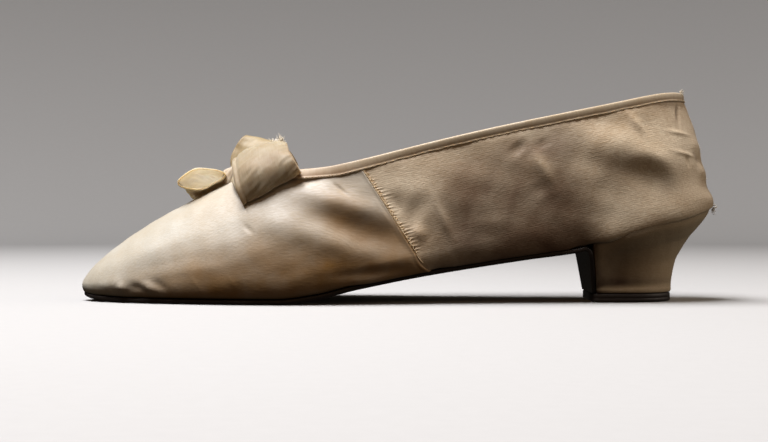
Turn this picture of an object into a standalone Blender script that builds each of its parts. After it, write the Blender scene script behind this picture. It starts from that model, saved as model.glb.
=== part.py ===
"""A heeled satin slipper with a ribbon bow, modelled the way it is made.

The toe points to -X, the heel to +X, and Z is up from the floor. Sizes are in millimetres, and
every mesh is turned into metres as it is made. The last is straight: its two sides mirror each
other, so the slipper fits either foot.
"""

import math

import bmesh
import bpy
import numpy as np

MM = 0.001

# Driving sizes
UPPER_WALL = 1.4
VAMP_STEP = 0.35
SEAT_GAP = 0.3
SOLE_THICKNESS = 1.8
SOLE_MARGIN = 1.4
SOLE_CHAMFER = 0.45
FLAP_THICKNESS = 1.5
FLAP_BEND = 1.5
BREAST_TOP_X = 70.2
BREAST_FLOOR_X = 72.8
HEEL_MARGIN = 0.9
HEEL_BACK_MARGIN = 2.0
HEEL_BASE_LENGTH = 29.6
HEEL_BASE_SHARE = 0.70
TOP_PIECE = 3.2
INSOLE_COVER = 1.2
BINDING_CLOTH = 0.5
BINDING_DEPTH = 1.9
RIBBON_THICKNESS = 0.7
KNOT_HALF_WIDTH = 2.6

# How finely the curved pieces are cut
RIBS_PER_ROW = 3
ARC_STEPS = 4
CLIMB_STEPS = 10
LOOP_CUTS = 5
RIBBON_CUTS = 4

# The underside of the sole, and behind the breast the heel seat: x along the shoe, and height z
SOLE_LINE = {
    "toe_tip": (-121.0, 1.6),
    "toe_spring": (-112.0, 0.5),
    "tread_front": (-98.0, 0.0),
    "tread_back": (-44.0, 0.0),
    "arch_foot": (-30.0, 1.6),
    "arch_rise": (-14.0, 5.4),
    "shank": (12.0, 10.4),
    "shank_back": (48.0, 16.0),
    "breast": (66.0, 18.5),
    "seat_front": (80.0, 22.8),
    "seat": (100.0, 28.6),
    "seat_back": (110.0, 31.2),
    "seat_rim": (120.0, 34.4),
}

# The ribs of the last, from the toe tip along one side to the back of the heel. A rib starts at the
# edge on the sole, rounds the widest place of the side, and leans in up to the top line.
RIB_COLUMNS = ("x_edge", "half_edge", "x_side", "half_side", "z_side",
               "x_top", "half_top", "z_top", "lean_x", "lean_y")
RIBS = {
    "toe_tip": (-118.4, 0.0, -119.3, 0.0, 6.2, -52.0, 0.0, 49.3, 1.44, 1.44),
    "toe_corner": (-111.4, 9.5, -112.1, 11.0, 6.4, -51.2, 4.8, 49.2, 1.48, 1.48),
    "toe_side": (-95.0, 18.0, -96.0, 20.4, 7.0, -48.7, 9.8, 49.0, 1.58, 1.66),
    "fore_ball": (-71.0, 26.0, -72.0, 29.2, 8.2, -44.0, 15.0, 48.8, 1.62, 1.92),
    "ball": (-44.5, 29.8, -46.0, 34.0, 10.0, -36.5, 19.4, 48.8, 1.50, 2.10),
    "back_ball": (-16.0, 27.6, -19.0, 32.7, 13.4, -26.5, 22.5, 49.9, 1.20, 2.20),
    "side_seam": (11.6, 23.4, 7.0, 29.0, 18.6, -14.6, 24.2, 52.5, 1.00, 2.20),
    "waist": (39.0, 20.8, 37.0, 25.4, 24.6, 15.0, 24.8, 60.0, 1.00, 2.00),
    "breast": (66.0, 20.8, 66.5, 24.3, 30.6, 47.0, 24.0, 67.2, 1.10, 1.80),
    "seat": (91.0, 20.8, 92.0, 23.2, 35.2, 79.0, 21.4, 73.8, 1.25, 1.60),
    "seat_back": (109.0, 15.0, 110.0, 16.2, 38.0, 99.5, 14.4, 78.0, 1.38, 1.48),
    "heel_back": (117.6, 0.0, 118.7, 0.0, 39.4, 109.3, 0.0, 78.8, 1.42, 1.42),
}
SEAM_ROW = list(RIBS).index("side_seam")
BACK_ROW = len(RIBS) - 1
ROUND_ROWS = 2 * BACK_ROW

# How the heel block flares from its base up to the seat: share of height, and share of the flare
FLARE = (
    (0.0, 0.0),
    (0.15, 0.03),
    (0.36, 0.13),
    (0.5, 0.28),
    (0.64, 0.47),
    (0.75, 0.68),
    (0.9, 0.92),
    (1.0, 1.0),
)

# The bow lies on the ridge of the vamp, tilted with it. A loop is a closed band of ribbon. Its rows
# go round the loop: how far out, the place across the bow and the height of each selvedge, and how
# far the cloth between them is crowned.
BOW_CENTRE = np.array((-50.0, 0.0, 50.3))
BOW_TILT = math.radians(30.0)
ALONG = np.array((math.cos(BOW_TILT), 0.0, math.sin(BOW_TILT)))
ACROSS = np.array((0.0, 1.0, 0.0))
UPWARD = np.array((-math.sin(BOW_TILT), 0.0, math.cos(BOW_TILT)))
LOOP_COLUMNS = ("out", "first", "first_rise", "second", "second_rise", "crown")
NEAR_LOOP = {
    "root_low": (1.0, -10.4, 3.7, 10.4, 3.7, 0.0),
    "root_high": (1.0, -10.4, 5.1, 10.4, 5.1, 0.0),
    "neck": (3.6, -10.6, 5.2, 10.6, 5.2, 0.2),
    "crest": (10.0, -10.6, 7.4, 12.0, 3.4, 2.5),
    "shoulder": (18.0, -11.6, 3.4, 12.0, 0.6, 2.0),
    "fold_high": (25.9, -12.3, -6.4, 11.9, -7.0, 0.8),
    "fold_low": (25.0, -12.3, -8.8, 11.9, -9.2, 0.4),
    "under": (18.0, -11.8, -1.4, 11.9, -1.8, 0.0),
    "tail": (9.0, -11.0, 2.3, 11.2, 1.2, 0.0),
    "base": (3.6, -10.6, 3.6, 10.6, 3.6, 0.0),
}
FAR_LOOP = {
    "root_low": (1.0, -10.4, 3.7, 10.4, 3.7, 0.0),
    "root_high": (1.0, -10.4, 5.1, 10.4, 5.1, 0.0),
    "neck": (3.6, -10.6, 5.2, 10.4, 5.2, 0.2),
    "rise": (7.6, -9.8, 10.0, 9.2, 7.0, 1.4),
    "crest": (12.5, -4.6, 13.4, 6.6, 8.4, 2.6),
    "shoulder": (20.0, -6.0, 8.8, 8.2, 4.8, 1.8),
    "fold": (26.0, -9.8, -1.6, 10.4, -4.0, 0.8),
    "under": (18.0, -11.4, -0.9, 11.0, -1.6, 0.0),
    "tail": (9.0, -11.0, 2.5, 10.8, 1.8, 0.0),
    "base": (3.6, -10.6, 3.6, 10.4, 3.6, 0.0),
}
TOE_LOOP = {
    "root": (14.2, -5.0, 5.0, 5.6, 3.4, 0.0),
    "top": (18.4, -6.0, 10.2, 8.6, 5.6, 0.4),
    "crest": (23.6, -6.6, 12.6, 11.0, 6.6, 0.6),
    "fold": (30.6, -6.4, 10.9, 12.4, 4.6, 0.0),
    "under": (26.6, -6.4, 6.2, 11.6, 1.6, 0.0),
    "base": (19.0, -5.8, 4.3, 8.6, 2.0, 0.0),
}
KNOT_HALF_LENGTH = 10.9
KNOT_RISE = 4.4
KNOT_RADIUS = 2.0

# Surface colours
SATIN_IVORY = (0.66, 0.56, 0.42)
SATIN_TAUPE = (0.46, 0.37, 0.28)
RIBBON_IVORY = (0.60, 0.49, 0.35)
LINEN = (0.62, 0.56, 0.46)
DARK_LEATHER = (0.030, 0.022, 0.018)


def clear_objects():
    for existing in list(bpy.data.objects):
        bpy.data.objects.remove(existing, do_unlink=True)


def make_material(name, colour, roughness):
    material = bpy.data.materials.new(name)
    material.use_nodes = True
    shader = material.node_tree.nodes["Principled BSDF"]
    shader.inputs["Base Color"].default_value = (*colour, 1.0)
    shader.inputs["Roughness"].default_value = roughness
    return material


def add_object(name, points, faces, colour, roughness):
    """Join points in millimetres and faces into one closed solid with its own material."""
    solid = bmesh.new()
    corners = [solid.verts.new(tuple(float(value) * MM for value in point)) for point in points]
    for face in faces:
        solid.faces.new([corners[index] for index in face])
    bmesh.ops.recalc_face_normals(solid, faces=solid.faces)
    mesh = bpy.data.meshes.new(name)
    solid.to_mesh(mesh)
    solid.free()
    mesh.materials.append(make_material(name + "_material", colour, roughness))
    added = bpy.data.objects.new(name, mesh)
    bpy.context.scene.collection.objects.link(added)
    return added


def add_rings(name, rings, round_trip, colour, roughness):
    """Skin a row of equal rings of points. A round trip joins the last ring to the first, and
    otherwise each end is closed by a strip of faces between the two halves of its ring."""
    count, size = len(rings), len(rings[0])
    faces = []
    for ring in range(count if round_trip else count - 1):
        here, there = ring * size, (ring + 1) % count * size
        for step in range(size):
            after = (step + 1) % size
            faces.append((here + step, here + after, there + after, there + step))
    if not round_trip:
        for first in (0, (count - 1) * size):
            for step in range(size // 2 - 1):
                faces.append((first + step, first + step + 1,
                              first + size - 2 - step, first + size - 1 - step))
    return add_object(name, [point for ring in rings for point in ring], faces, colour, roughness)


def unit(vectors):
    return vectors / np.linalg.norm(vectors, axis=-1, keepdims=True)


def round_spline(rows, spans=None):
    """Give a smooth closed curve through rows of numbers, as a function of the row number that
    returns the values and their rate of change. The spans weigh the steps from row to row."""
    rows = np.asarray(rows, float)
    count = len(rows)
    spans = np.ones(count) if spans is None else np.asarray(spans, float)
    spans = spans[:, None]
    steps = (np.roll(rows, -1, axis=0) - rows) / spans ** 2
    after, before = np.diagflat(1.0 / spans), np.diagflat(1.0 / np.roll(spans, 1))
    ahead = np.roll(np.eye(count), 1, axis=1)
    matrix = 2.0 * (after + before) + after @ ahead + before @ ahead.T
    slopes = np.linalg.solve(matrix, 3.0 * (steps + np.roll(steps, 1, axis=0)))

    def curve(place):
        place = np.atleast_1d(place) % count
        start = np.floor(place).astype(int) % count
        end = (start + 1) % count
        f = (place - np.floor(place))[:, None]
        rise = rows[end] - rows[start]
        leave, arrive = slopes[start] * spans[start], slopes[end] * spans[start]
        value = (rows[start] + rise * f * f * (3 - 2 * f)
                 + leave * f * (1 - f) ** 2 + arrive * f * f * (f - 1))
        rate = rise * 6 * f * (1 - f) + leave * (1 - f) * (1 - 3 * f) + arrive * f * (3 * f - 2)
        return value, rate

    return curve


def gentle_curve(rows):
    """Give a height along x that passes through the rows and never overshoots them, so that a flat
    stretch in the table stays flat."""
    xs, zs = np.array(list(rows.values())).T
    runs, grades = np.diff(xs), np.diff(zs) / np.diff(xs)
    slopes = np.zeros(len(xs))
    slopes[0], slopes[-1] = grades[0], grades[-1]
    for k in range(1, len(xs) - 1):
        before, after = grades[k - 1], grades[k]
        if before * after > 0:
            slopes[k] = (runs[k - 1] + runs[k]) / (runs[k - 1] / before + runs[k] / after)

    def height(x):
        k = np.clip(np.searchsorted(xs, x) - 1, 0, len(runs) - 1)
        f = np.clip((x - xs[k]) / runs[k], 0.0, 1.0)
        return (zs[k] + (zs[k + 1] - zs[k]) * f * f * (3 - 2 * f)
                + runs[k] * (slopes[k] * f * (1 - f) ** 2 + slopes[k + 1] * f * f * (f - 1)))

    return height


def whole_round(table):
    """Mirror the ribs of one side onto the other. The near side has negative y."""
    near = np.array(list(table.values()))
    halves = [name.startswith("half") for name in RIB_COLUMNS]
    near[:, halves] *= -1.0
    far = near[BACK_ROW - 1:0:-1].copy()
    far[:, halves] *= -1.0
    return np.vstack((near, far))


sole_line = gentle_curve(SOLE_LINE)
rib_curve = round_spline(whole_round(RIBS))


def edge_height(x):
    """Height at which the upper rests on the sole or on the heel seat."""
    return sole_line(x) + SOLE_THICKNESS + SEAT_GAP


def rib_places(seam_gap=0.0):
    """Row numbers of the ribs, and how far each stands proud of the quarters. With a seam gap the
    rib at each side seam is doubled, for the step in the wall."""
    places = []
    for row in range(ROUND_ROWS):
        at_seam = row in (SEAM_ROW, ROUND_ROWS - SEAM_ROW)
        places += [row - seam_gap, row + seam_gap] if at_seam and seam_gap else [row]
        places += [row + cut / RIBS_PER_ROW for cut in range(1, RIBS_PER_ROW)]
    places = np.array(places, float)
    from_toe = np.minimum(places, ROUND_ROWS - places)
    return places, np.where(from_toe <= SEAM_ROW, VAMP_STEP, 0.0)


def rib_corners(places):
    """Edge, side and top points of the ribs, their rates along the shoe, and their leans."""
    value, rate = rib_curve(places)
    table = {name: (value[:, k], rate[:, k]) for k, name in enumerate(RIB_COLUMNS)}
    x_edge, x_rate = table["x_edge"]
    slope = (edge_height(x_edge + 0.05) - edge_height(x_edge - 0.05)) / 0.1
    table["z_edge"] = (edge_height(x_edge), slope * x_rate)
    corners = {}
    for name in ("edge", "side", "top"):
        parts = [table["x_" + name], table["half_" + name], table["z_" + name]]
        corners[name] = [np.stack([part[k] for part in parts], axis=1) for k in (0, 1)]
    ones = np.ones_like(x_edge)
    lean = np.stack((table["lean_x"][0], table["lean_y"][0], ones), axis=1)
    return corners, lean


def below_side(corners, share):
    """Points, rates along the shoe and rates up the rib, on the arc from the edge to the side."""
    angle = share * math.pi / 2.0
    weight = np.array((math.sin(angle), math.sin(angle), 1.0 - math.cos(angle)))
    climb = np.array((math.cos(angle), math.cos(angle), math.sin(angle)))
    edge, side = corners["edge"], corners["side"]
    point, rate = (edge[k] + (side[k] - edge[k]) * weight for k in (0, 1))
    return point, rate, (side[0] - edge[0]) * climb


def above_side(corners, lean, share):
    """The same for the stretch from the side up to the top line."""
    share = np.reshape(share, (-1, 1))
    side, top = corners["side"], corners["top"]
    weight = share ** lean
    climb = lean * np.maximum(share, 1e-6) ** (lean - 1.0)
    point, rate = (side[k] + (top[k] - side[k]) * weight for k in (0, 1))
    return point, rate, (top[0] - side[0]) * climb


def outward(rate, climb):
    return unit(np.cross(rate, climb))


def rim_share(corners, lean):
    """Share of the climb at which the upper ends, so that the binding reaches the top line."""
    top_climb = above_side(corners, lean, 1.0)[2]
    return 1.0 - (SEAT_GAP + BINDING_CLOTH) / np.linalg.norm(top_climb, axis=1)


def wall_lines(places, proud):
    """Outer and inner lines of points of the upper's wall, each from the edge up to the rim."""
    corners, lean = rib_corners(places)
    outer, inner = [], []
    side_point, side_rate, side_climb = above_side(corners, lean, 0.0)
    inner_side = side_point - UPPER_WALL * outward(side_rate, side_climb)
    inner_edge = corners["edge"][0] + (0.0, 0.0, UPPER_WALL)
    for step in range(ARC_STEPS):
        share = step / ARC_STEPS
        angle = share * math.pi / 2.0
        point, rate, climb = below_side(corners, share)
        outer.append(point + (proud * math.sin(angle))[:, None] * outward(rate, climb))
        weight = np.array((math.sin(angle), math.sin(angle), 1.0 - math.cos(angle)))
        inner.append(inner_edge + (inner_side - inner_edge) * weight)
    rim = rim_share(corners, lean)
    for step in range(CLIMB_STEPS + 1):
        point, rate, climb = above_side(corners, lean, rim * (step / CLIMB_STEPS) ** 1.2)
        normal = outward(rate, climb)
        outer.append(point + proud[:, None] * normal)
        inner.append(point - UPPER_WALL * normal)
    return np.array(outer), np.array(inner)


def add_upper():
    places, proud = rib_places(seam_gap=0.01)
    outer, inner = wall_lines(places, proud)
    rings = [np.vstack((outer[:, k], inner[::-1, k])) for k in range(len(places))]
    return add_rings("upper", rings, True, SATIN_IVORY, 0.42)


def add_topline_binding():
    """A folded strip over the rim, with one leg outside the wall and one inside."""
    places, proud = rib_places()
    corners, lean = rib_corners(places)
    point, rate, climb = above_side(corners, lean, rim_share(corners, lean))
    along = unit(rate)
    normal = outward(rate, climb)
    up = np.cross(normal, along)
    up *= np.sign(np.sum(up * climb, axis=1))[:, None]
    near, cap = SEAT_GAP, SEAT_GAP + BINDING_CLOTH
    rings = []
    for k in range(len(places)):
        out, back = proud[k], -UPPER_WALL
        profile = (
            (-BINDING_DEPTH, out + near), (-BINDING_DEPTH, out + cap), (0.0, out + cap),
            (cap * 0.75, out + cap * 0.45), (cap, out * 0.5 - 0.1), (cap, back * 0.9),
            (cap * 0.75, back - cap * 0.45), (0.0, back - cap), (-BINDING_DEPTH, back - cap),
            (-BINDING_DEPTH, back - near), (0.0, back - near), (near, back * 0.8),
            (near, out * 0.5 - 0.2), (0.0, out + near),
        )
        rings.append([point[k] + high * up[k] + wide * normal[k] for high, wide in profile])
    return add_rings("topline_binding", rings, True, SATIN_TAUPE, 0.5)


def edge_outline(places, grow):
    """Plan of the edge of the upper on the near side, grown outward by a distance."""
    corners = rib_corners(places)[0]
    point, rate = corners["edge"][0][:, :2], corners["edge"][1][:, :2]
    normal = unit(np.stack((rate[:, 1], -rate[:, 0]), axis=1))
    return point + np.reshape(grow, (-1, 1)) * normal


def place_at(x):
    """Row number on the near side at which the edge of the upper reaches x."""
    places = np.linspace(0.0, BACK_ROW, 600)
    return float(np.interp(x, rib_curve(places)[0][:, 0], places))


def breast_x(z):
    """Front face of the flap that covers the heel breast."""
    return BREAST_FLOOR_X + (BREAST_TOP_X - BREAST_FLOOR_X) * z / float(sole_line(BREAST_TOP_X))


def heel_outlines():
    """Matching near-side outlines of the heel's base and seat, from the breast to the back, with
    the height of the seat along the second."""
    behind_flap = FLAP_THICKNESS + SEAT_GAP
    front = BREAST_TOP_X + behind_flap
    places = np.linspace(place_at(front), BACK_ROW, 17)
    share = (places - places[0]) / (BACK_ROW - places[0])
    grow = HEEL_MARGIN + (HEEL_BACK_MARGIN - HEEL_MARGIN) * share ** 2
    seat = edge_outline(places, grow)
    seat[0, 0] = front
    base_front = breast_x(TOP_PIECE) + behind_flap
    length = HEEL_BASE_LENGTH / (seat[-1, 0] - front)
    base = np.stack((base_front + (seat[:, 0] - front) * length, seat[:, 1] * HEEL_BASE_SHARE), axis=1)
    seat_z = edge_height(seat[:, 0]) - SEAT_GAP
    return base, seat, seat_z


def both_sides(near):
    """Carry a near-side outline from breast to back on round the far side. Its points pair up
    across the shoe, so the one at the back is split into two."""
    near = near.copy()
    near[-1, 1] = -SEAT_GAP
    far = near[::-1].copy()
    far[:, 1] *= -1.0
    return np.vstack((near, far))


def heel_ring(share_of_height):
    """One level ring of the heel block. Its front stays flat while its back and sides flare."""
    base, seat, seat_z = heel_outlines()
    heights, flares = np.array(FLARE).T
    flare = np.interp(share_of_height, heights, flares)
    from_front = np.clip(np.linspace(0.0, 3.0, len(base)), 0.0, 1.0)
    share = share_of_height + (flare - share_of_height) * from_front
    plan = base + (seat - base) * share[:, None]
    low = TOP_PIECE + SEAT_GAP
    z = low + (seat_z - low) * share_of_height
    return both_sides(np.column_stack((plan, z)))


def add_heel():
    rings = [heel_ring(share) for share in np.linspace(0.0, 1.0, 13)]
    return add_rings("heel", rings, False, SATIN_TAUPE, 0.45)


def add_top_piece():
    base = heel_outlines()[0]
    plan = both_sides(base)
    plan[[0, -1], 0] = BREAST_FLOOR_X
    centre = plan.mean(axis=0)
    rings = []
    for z, inset in ((0.0, SOLE_CHAMFER), (SOLE_CHAMFER, 0.0), (TOP_PIECE, 0.0)):
        shrunk = plan - inset * unit(plan - centre)
        rings.append(np.column_stack((shrunk, np.full(len(plan), z))))
    return add_rings("top_piece", rings, False, DARK_LEATHER, 0.5)


def sole_stations():
    """Under and upper points of the outsole along the shoe, with its half width. The strip runs
    along the sole and shank, then bends down over the heel breast."""
    toe_end, bend_x = 0.12, BREAST_TOP_X - FLAP_BEND
    last = place_at(bend_x - FLAP_BEND)
    rows = np.concatenate((np.linspace(toe_end, 1.0, 4, endpoint=False), np.linspace(1.0, last, 34)))
    stations = []
    for x, y in edge_outline(rows, SOLE_MARGIN):
        z = float(sole_line(x))
        stations.append(((x, z), (x, z + SOLE_THICKNESS), -y))
    centre = np.array((bend_x, float(sole_line(bend_x)) - FLAP_BEND))
    base, seat, _ = heel_outlines()
    wide, top_half, low_half = stations[-1][2], -seat[0, 1] - SEAT_GAP, -base[0, 1] - SEAT_GAP
    breast_slant = math.atan2(BREAST_FLOOR_X - BREAST_TOP_X, centre[1])
    for share in np.linspace(0.0, 1.0, 7):
        turn = (math.pi / 2.0 - breast_slant) * share
        aim = np.array((math.sin(turn), math.cos(turn)))
        thick = SOLE_THICKNESS + (FLAP_THICKNESS - SOLE_THICKNESS) * share
        half = wide + (top_half - wide) * share
        stations.append((centre + FLAP_BEND * aim, centre + (FLAP_BEND + thick) * aim, half))
    start_z, foot_z = float(stations[-1][0][1]), TOP_PIECE + SEAT_GAP
    for share in np.linspace(0.2, 1.0, 5):
        z = start_z + (foot_z - start_z) * share
        half = top_half + (low_half - top_half) * share
        stations.append(((breast_x(z), z), (breast_x(z) + FLAP_THICKNESS, z), half))
    return stations


def add_outsole():
    rings = []
    for under, upper, half in sole_stations():
        under, upper = np.array(under), np.array(upper)
        lift = (upper - under) * SOLE_CHAMFER / np.linalg.norm(upper - under)
        profile = (
            (under, half - SOLE_CHAMFER), (under + lift, half), (upper - lift, half),
            (upper, half - SOLE_CHAMFER),
        )
        near = [(place[0], -wide, place[1]) for place, wide in profile]
        far = [(place[0], wide, place[1]) for place, wide in reversed(profile)]
        rings.append(near + far)
    return add_rings("outsole", rings, False, DARK_LEATHER, 0.55)


def add_insole():
    """A board on the turned-in edge of the upper, with its filler reaching down to the sole."""
    ribs = rib_places()[0]
    places = ribs[(ribs > 0.0) & (ribs < BACK_ROW)]
    corners, lean = rib_corners(places)
    edge = corners["edge"][0]
    side_point, side_rate, side_climb = above_side(corners, lean, 0.0)
    inner_side = side_point - UPPER_WALL * outward(side_rate, side_climb)
    inner_edge = edge + (0.0, 0.0, UPPER_WALL)
    plug = edge_outline(places, -SEAT_GAP - 0.1)

    angles = np.linspace(0.0, math.pi / 2.0, ARC_STEPS + 1)

    def inside_wall(lift):
        reach = inner_side - inner_edge
        share = np.interp(lift / reach[:, 2], 1.0 - np.cos(angles), np.sin(angles))[:, None]
        return plug + reach[:, :2] * share

    board_low, board_high = SEAT_GAP, SEAT_GAP + INSOLE_COVER
    z_edge = edge[:, 2]
    lines = (
        np.column_stack((plug, z_edge)),
        np.column_stack((plug, z_edge + UPPER_WALL + board_low)),
        np.column_stack((inside_wall(board_low), z_edge + UPPER_WALL + board_low)),
        np.column_stack((inside_wall(board_high), z_edge + UPPER_WALL + board_high)),
    )
    rings = []
    for k in range(len(places)):
        near = [line[k] for line in lines]
        far = [point * (1.0, -1.0, 1.0) for point in reversed(near)]
        rings.append(near + far)
    return add_rings("insole", rings, False, LINEN, 0.8)


def add_loop(name, table, out_axis, width_axis):
    """A closed band of ribbon. The rows give its two selvedges, and cuts between them the cloth."""
    rows = np.array(list(table.values()))
    spans = np.linalg.norm(np.roll(rows, -1, axis=0) - rows, axis=1)
    places = np.linspace(0.0, len(rows), len(rows) * LOOP_CUTS, endpoint=False)
    value, rate = round_spline(rows, spans)(places)
    half = RIBBON_THICKNESS / 2.0

    def selvedge(values, name):
        out, place, rise = (values[:, [LOOP_COLUMNS.index(column)]]
                            for column in ("out", name, name + "_rise"))
        return out * out_axis + place * width_axis + rise * UPWARD

    ends = [(selvedge(value, name), selvedge(rate, name)) for name in ("first", "second")]
    swell = value[:, [LOOP_COLUMNS.index("crown")]] * np.dot(np.cross(out_axis, width_axis), UPWARD)
    lines = []
    for share in np.linspace(0.0, 1.0, RIBBON_CUTS + 1):
        line = ends[0][0] + (ends[1][0] - ends[0][0]) * share
        run = ends[0][1] + (ends[1][1] - ends[0][1]) * share
        normal = unit(np.cross(run, ends[1][0] - ends[0][0]))
        line = BOW_CENTRE + line + 4.0 * share * (1.0 - share) * swell * normal
        lines.append((line + half * normal, line - half * normal))
    rings = []
    for k in range(len(places)):
        rings.append([line[0][k] for line in lines] + [line[1][k] for line in reversed(lines)])
    return add_rings(name, rings, True, RIBBON_IVORY, 0.42)


def add_knot():
    """A narrow band that goes once round the roots of the loops."""
    half = RIBBON_THICKNESS / 2.0
    rings = []
    for end in (1.0, -1.0):
        for turn in np.linspace(-0.5, 0.5, 9) * math.pi:
            ring = []
            for side, depth in ((-1, -half), (-1, half), (1, half), (1, -half)):
                radius = KNOT_RADIUS + depth
                along = end * (KNOT_HALF_LENGTH + radius * math.cos(turn))
                rise = KNOT_RISE + end * radius * math.sin(turn)
                ring.append(BOW_CENTRE + along * ALONG + side * KNOT_HALF_WIDTH * ACROSS
                            + rise * UPWARD)
            rings.append(ring)
    return add_rings("bow_knot", rings, True, RIBBON_IVORY, 0.42)


clear_objects()
add_outsole()
add_top_piece()
add_heel()
add_upper()
add_topline_binding()
add_insole()
add_loop("bow_loop_near", NEAR_LOOP, -ACROSS, ALONG)
add_loop("bow_loop_far", FAR_LOOP, ACROSS, ALONG)
add_loop("bow_loop_toe", TOE_LOOP, -ALONG, ACROSS)
add_knot()
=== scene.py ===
# %% [markdown]
# # A heeled satin slipper with a ribbon bow
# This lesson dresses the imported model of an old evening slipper. The vamp is shiny ivory satin, the
# quarters are a duller satin, the low heel is covered in the same cloth, the thin sole is leather
# and a ribbon bow sits on the throat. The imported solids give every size. Their short tables are
# repeated here, so that cloth can be laid over the same last in much finer steps.
# Lengths are millimetres until a mesh is made. The toe points to -X, the heel to +X, and Z is up.

import math

import bpy
import numpy as np
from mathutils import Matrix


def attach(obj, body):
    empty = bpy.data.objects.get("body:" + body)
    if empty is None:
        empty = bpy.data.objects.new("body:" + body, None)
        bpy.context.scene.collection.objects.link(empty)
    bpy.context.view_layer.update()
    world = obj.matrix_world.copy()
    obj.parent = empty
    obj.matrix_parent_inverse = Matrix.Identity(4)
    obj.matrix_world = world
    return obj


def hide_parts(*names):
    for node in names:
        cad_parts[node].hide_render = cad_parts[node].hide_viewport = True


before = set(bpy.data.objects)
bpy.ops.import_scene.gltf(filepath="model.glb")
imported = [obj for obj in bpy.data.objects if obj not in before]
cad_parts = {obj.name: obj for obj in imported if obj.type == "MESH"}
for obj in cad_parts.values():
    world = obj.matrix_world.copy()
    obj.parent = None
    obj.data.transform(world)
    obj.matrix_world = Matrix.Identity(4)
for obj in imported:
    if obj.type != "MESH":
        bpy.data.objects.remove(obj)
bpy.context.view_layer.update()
MM = 0.001
scene = bpy.context.scene
print("CAD nodes:", ", ".join(sorted(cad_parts)))

# %% [markdown]
# ## The camera
# The photograph is a level side view from about 0.6 m, so near edges look a little larger than far
# ones. A long lens far away would flatten that. The eye's place and the focal length in pixels are
# worked out from the heel's two front corners, and a slight downward tilt puts the horizon where
# the photograph has it.

# %% Camera at the photograph's angle
IMAGE_WIDTH = 768
FOCAL_PIXELS = 1526.0
EYE = (-4.8, -580.0, 35.0)
HORIZON_ABOVE_MIDDLE = 13.0

camera_data = bpy.data.cameras.new("side_view")
camera_data.lens = FOCAL_PIXELS / IMAGE_WIDTH * camera_data.sensor_width
camera = bpy.data.objects.new("side_view", camera_data)
camera.location = [value * MM for value in EYE]
camera.rotation_euler = (math.pi / 2.0 - math.atan(HORIZON_ABOVE_MIDDLE / FOCAL_PIXELS), 0.0, 0.0)
scene.collection.objects.link(camera)
scene.camera = camera
print("lens", round(camera_data.lens, 1), "mm")

# %% [markdown]
# ## Colours and nodes
# Colours are picked as sRGB hex values, the way a paint program shows them, but shaders count light,
# so one function turns them linear. Another small function adds a node, sets what it is given and
# draws its links. With these two a material reads as a short list.

# %% Helpers for materials
def cloth_colour(hex_value):
    """Turn an sRGB hex value such as "d9c9ae" into a linear colour."""
    shares = [int(hex_value[k:k + 2], 16) / 255.0 for k in (0, 2, 4)]
    linear = [s / 12.92 if s <= 0.04045 else ((s + 0.055) / 1.055) ** 2.4 for s in shares]
    return (*linear, 1.0)


def add_node(material, kind, inputs=None, **settings):
    """Add a node. Settings go on the node, and inputs gives each socket a value or a link."""
    node = material.node_tree.nodes.new("ShaderNode" + kind)
    for name, value in settings.items():
        setattr(node, name, value)
    for socket, value in (inputs or {}).items():
        if isinstance(value, bpy.types.NodeSocket):
            material.node_tree.links.new(value, node.inputs[socket])
        else:
            node.inputs[socket].default_value = value
    return node


def new_material(name, **shader_values):
    """Start a material from the Principled shader and set its plain values on their sockets."""
    material = bpy.data.materials.new(name)
    material.use_nodes = True
    shader = material.node_tree.nodes["Principled BSDF"]
    for socket, value in shader_values.items():
        shader.inputs[socket.replace("_", " ")].default_value = value
    return material, shader


# A Mix node lists its colour sockets after those for numbers and vectors, so they go by number.
MIX_SHARE, FIRST_COLOUR, SECOND_COLOUR, MIXED_COLOUR = 0, 6, 7, 2
print("ivory as linear light:", [round(v, 3) for v in cloth_colour("e2d6c0")[:3]])

# %% [markdown]
# ## Woven cloth
# All the cloth here is silk or linen, and cloth is never one flat colour. Each piece carries an
# attribute called cloth, which holds millimetres along and across the grain, so patterns follow the
# weave and not the mesh. Another attribute says where the cloth is darker: with age and soil, and with
# painted shade in hollows, under other parts and on sides away from the light.
# Satin has long floats: fine slubs along the grain, a soft broad gloss and little fuzz.

# %% A woven material
# A wave texture of scale 1 has its bands this far apart, which turns a thread spacing into a scale.
WAVE_SPACING = 0.314


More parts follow.
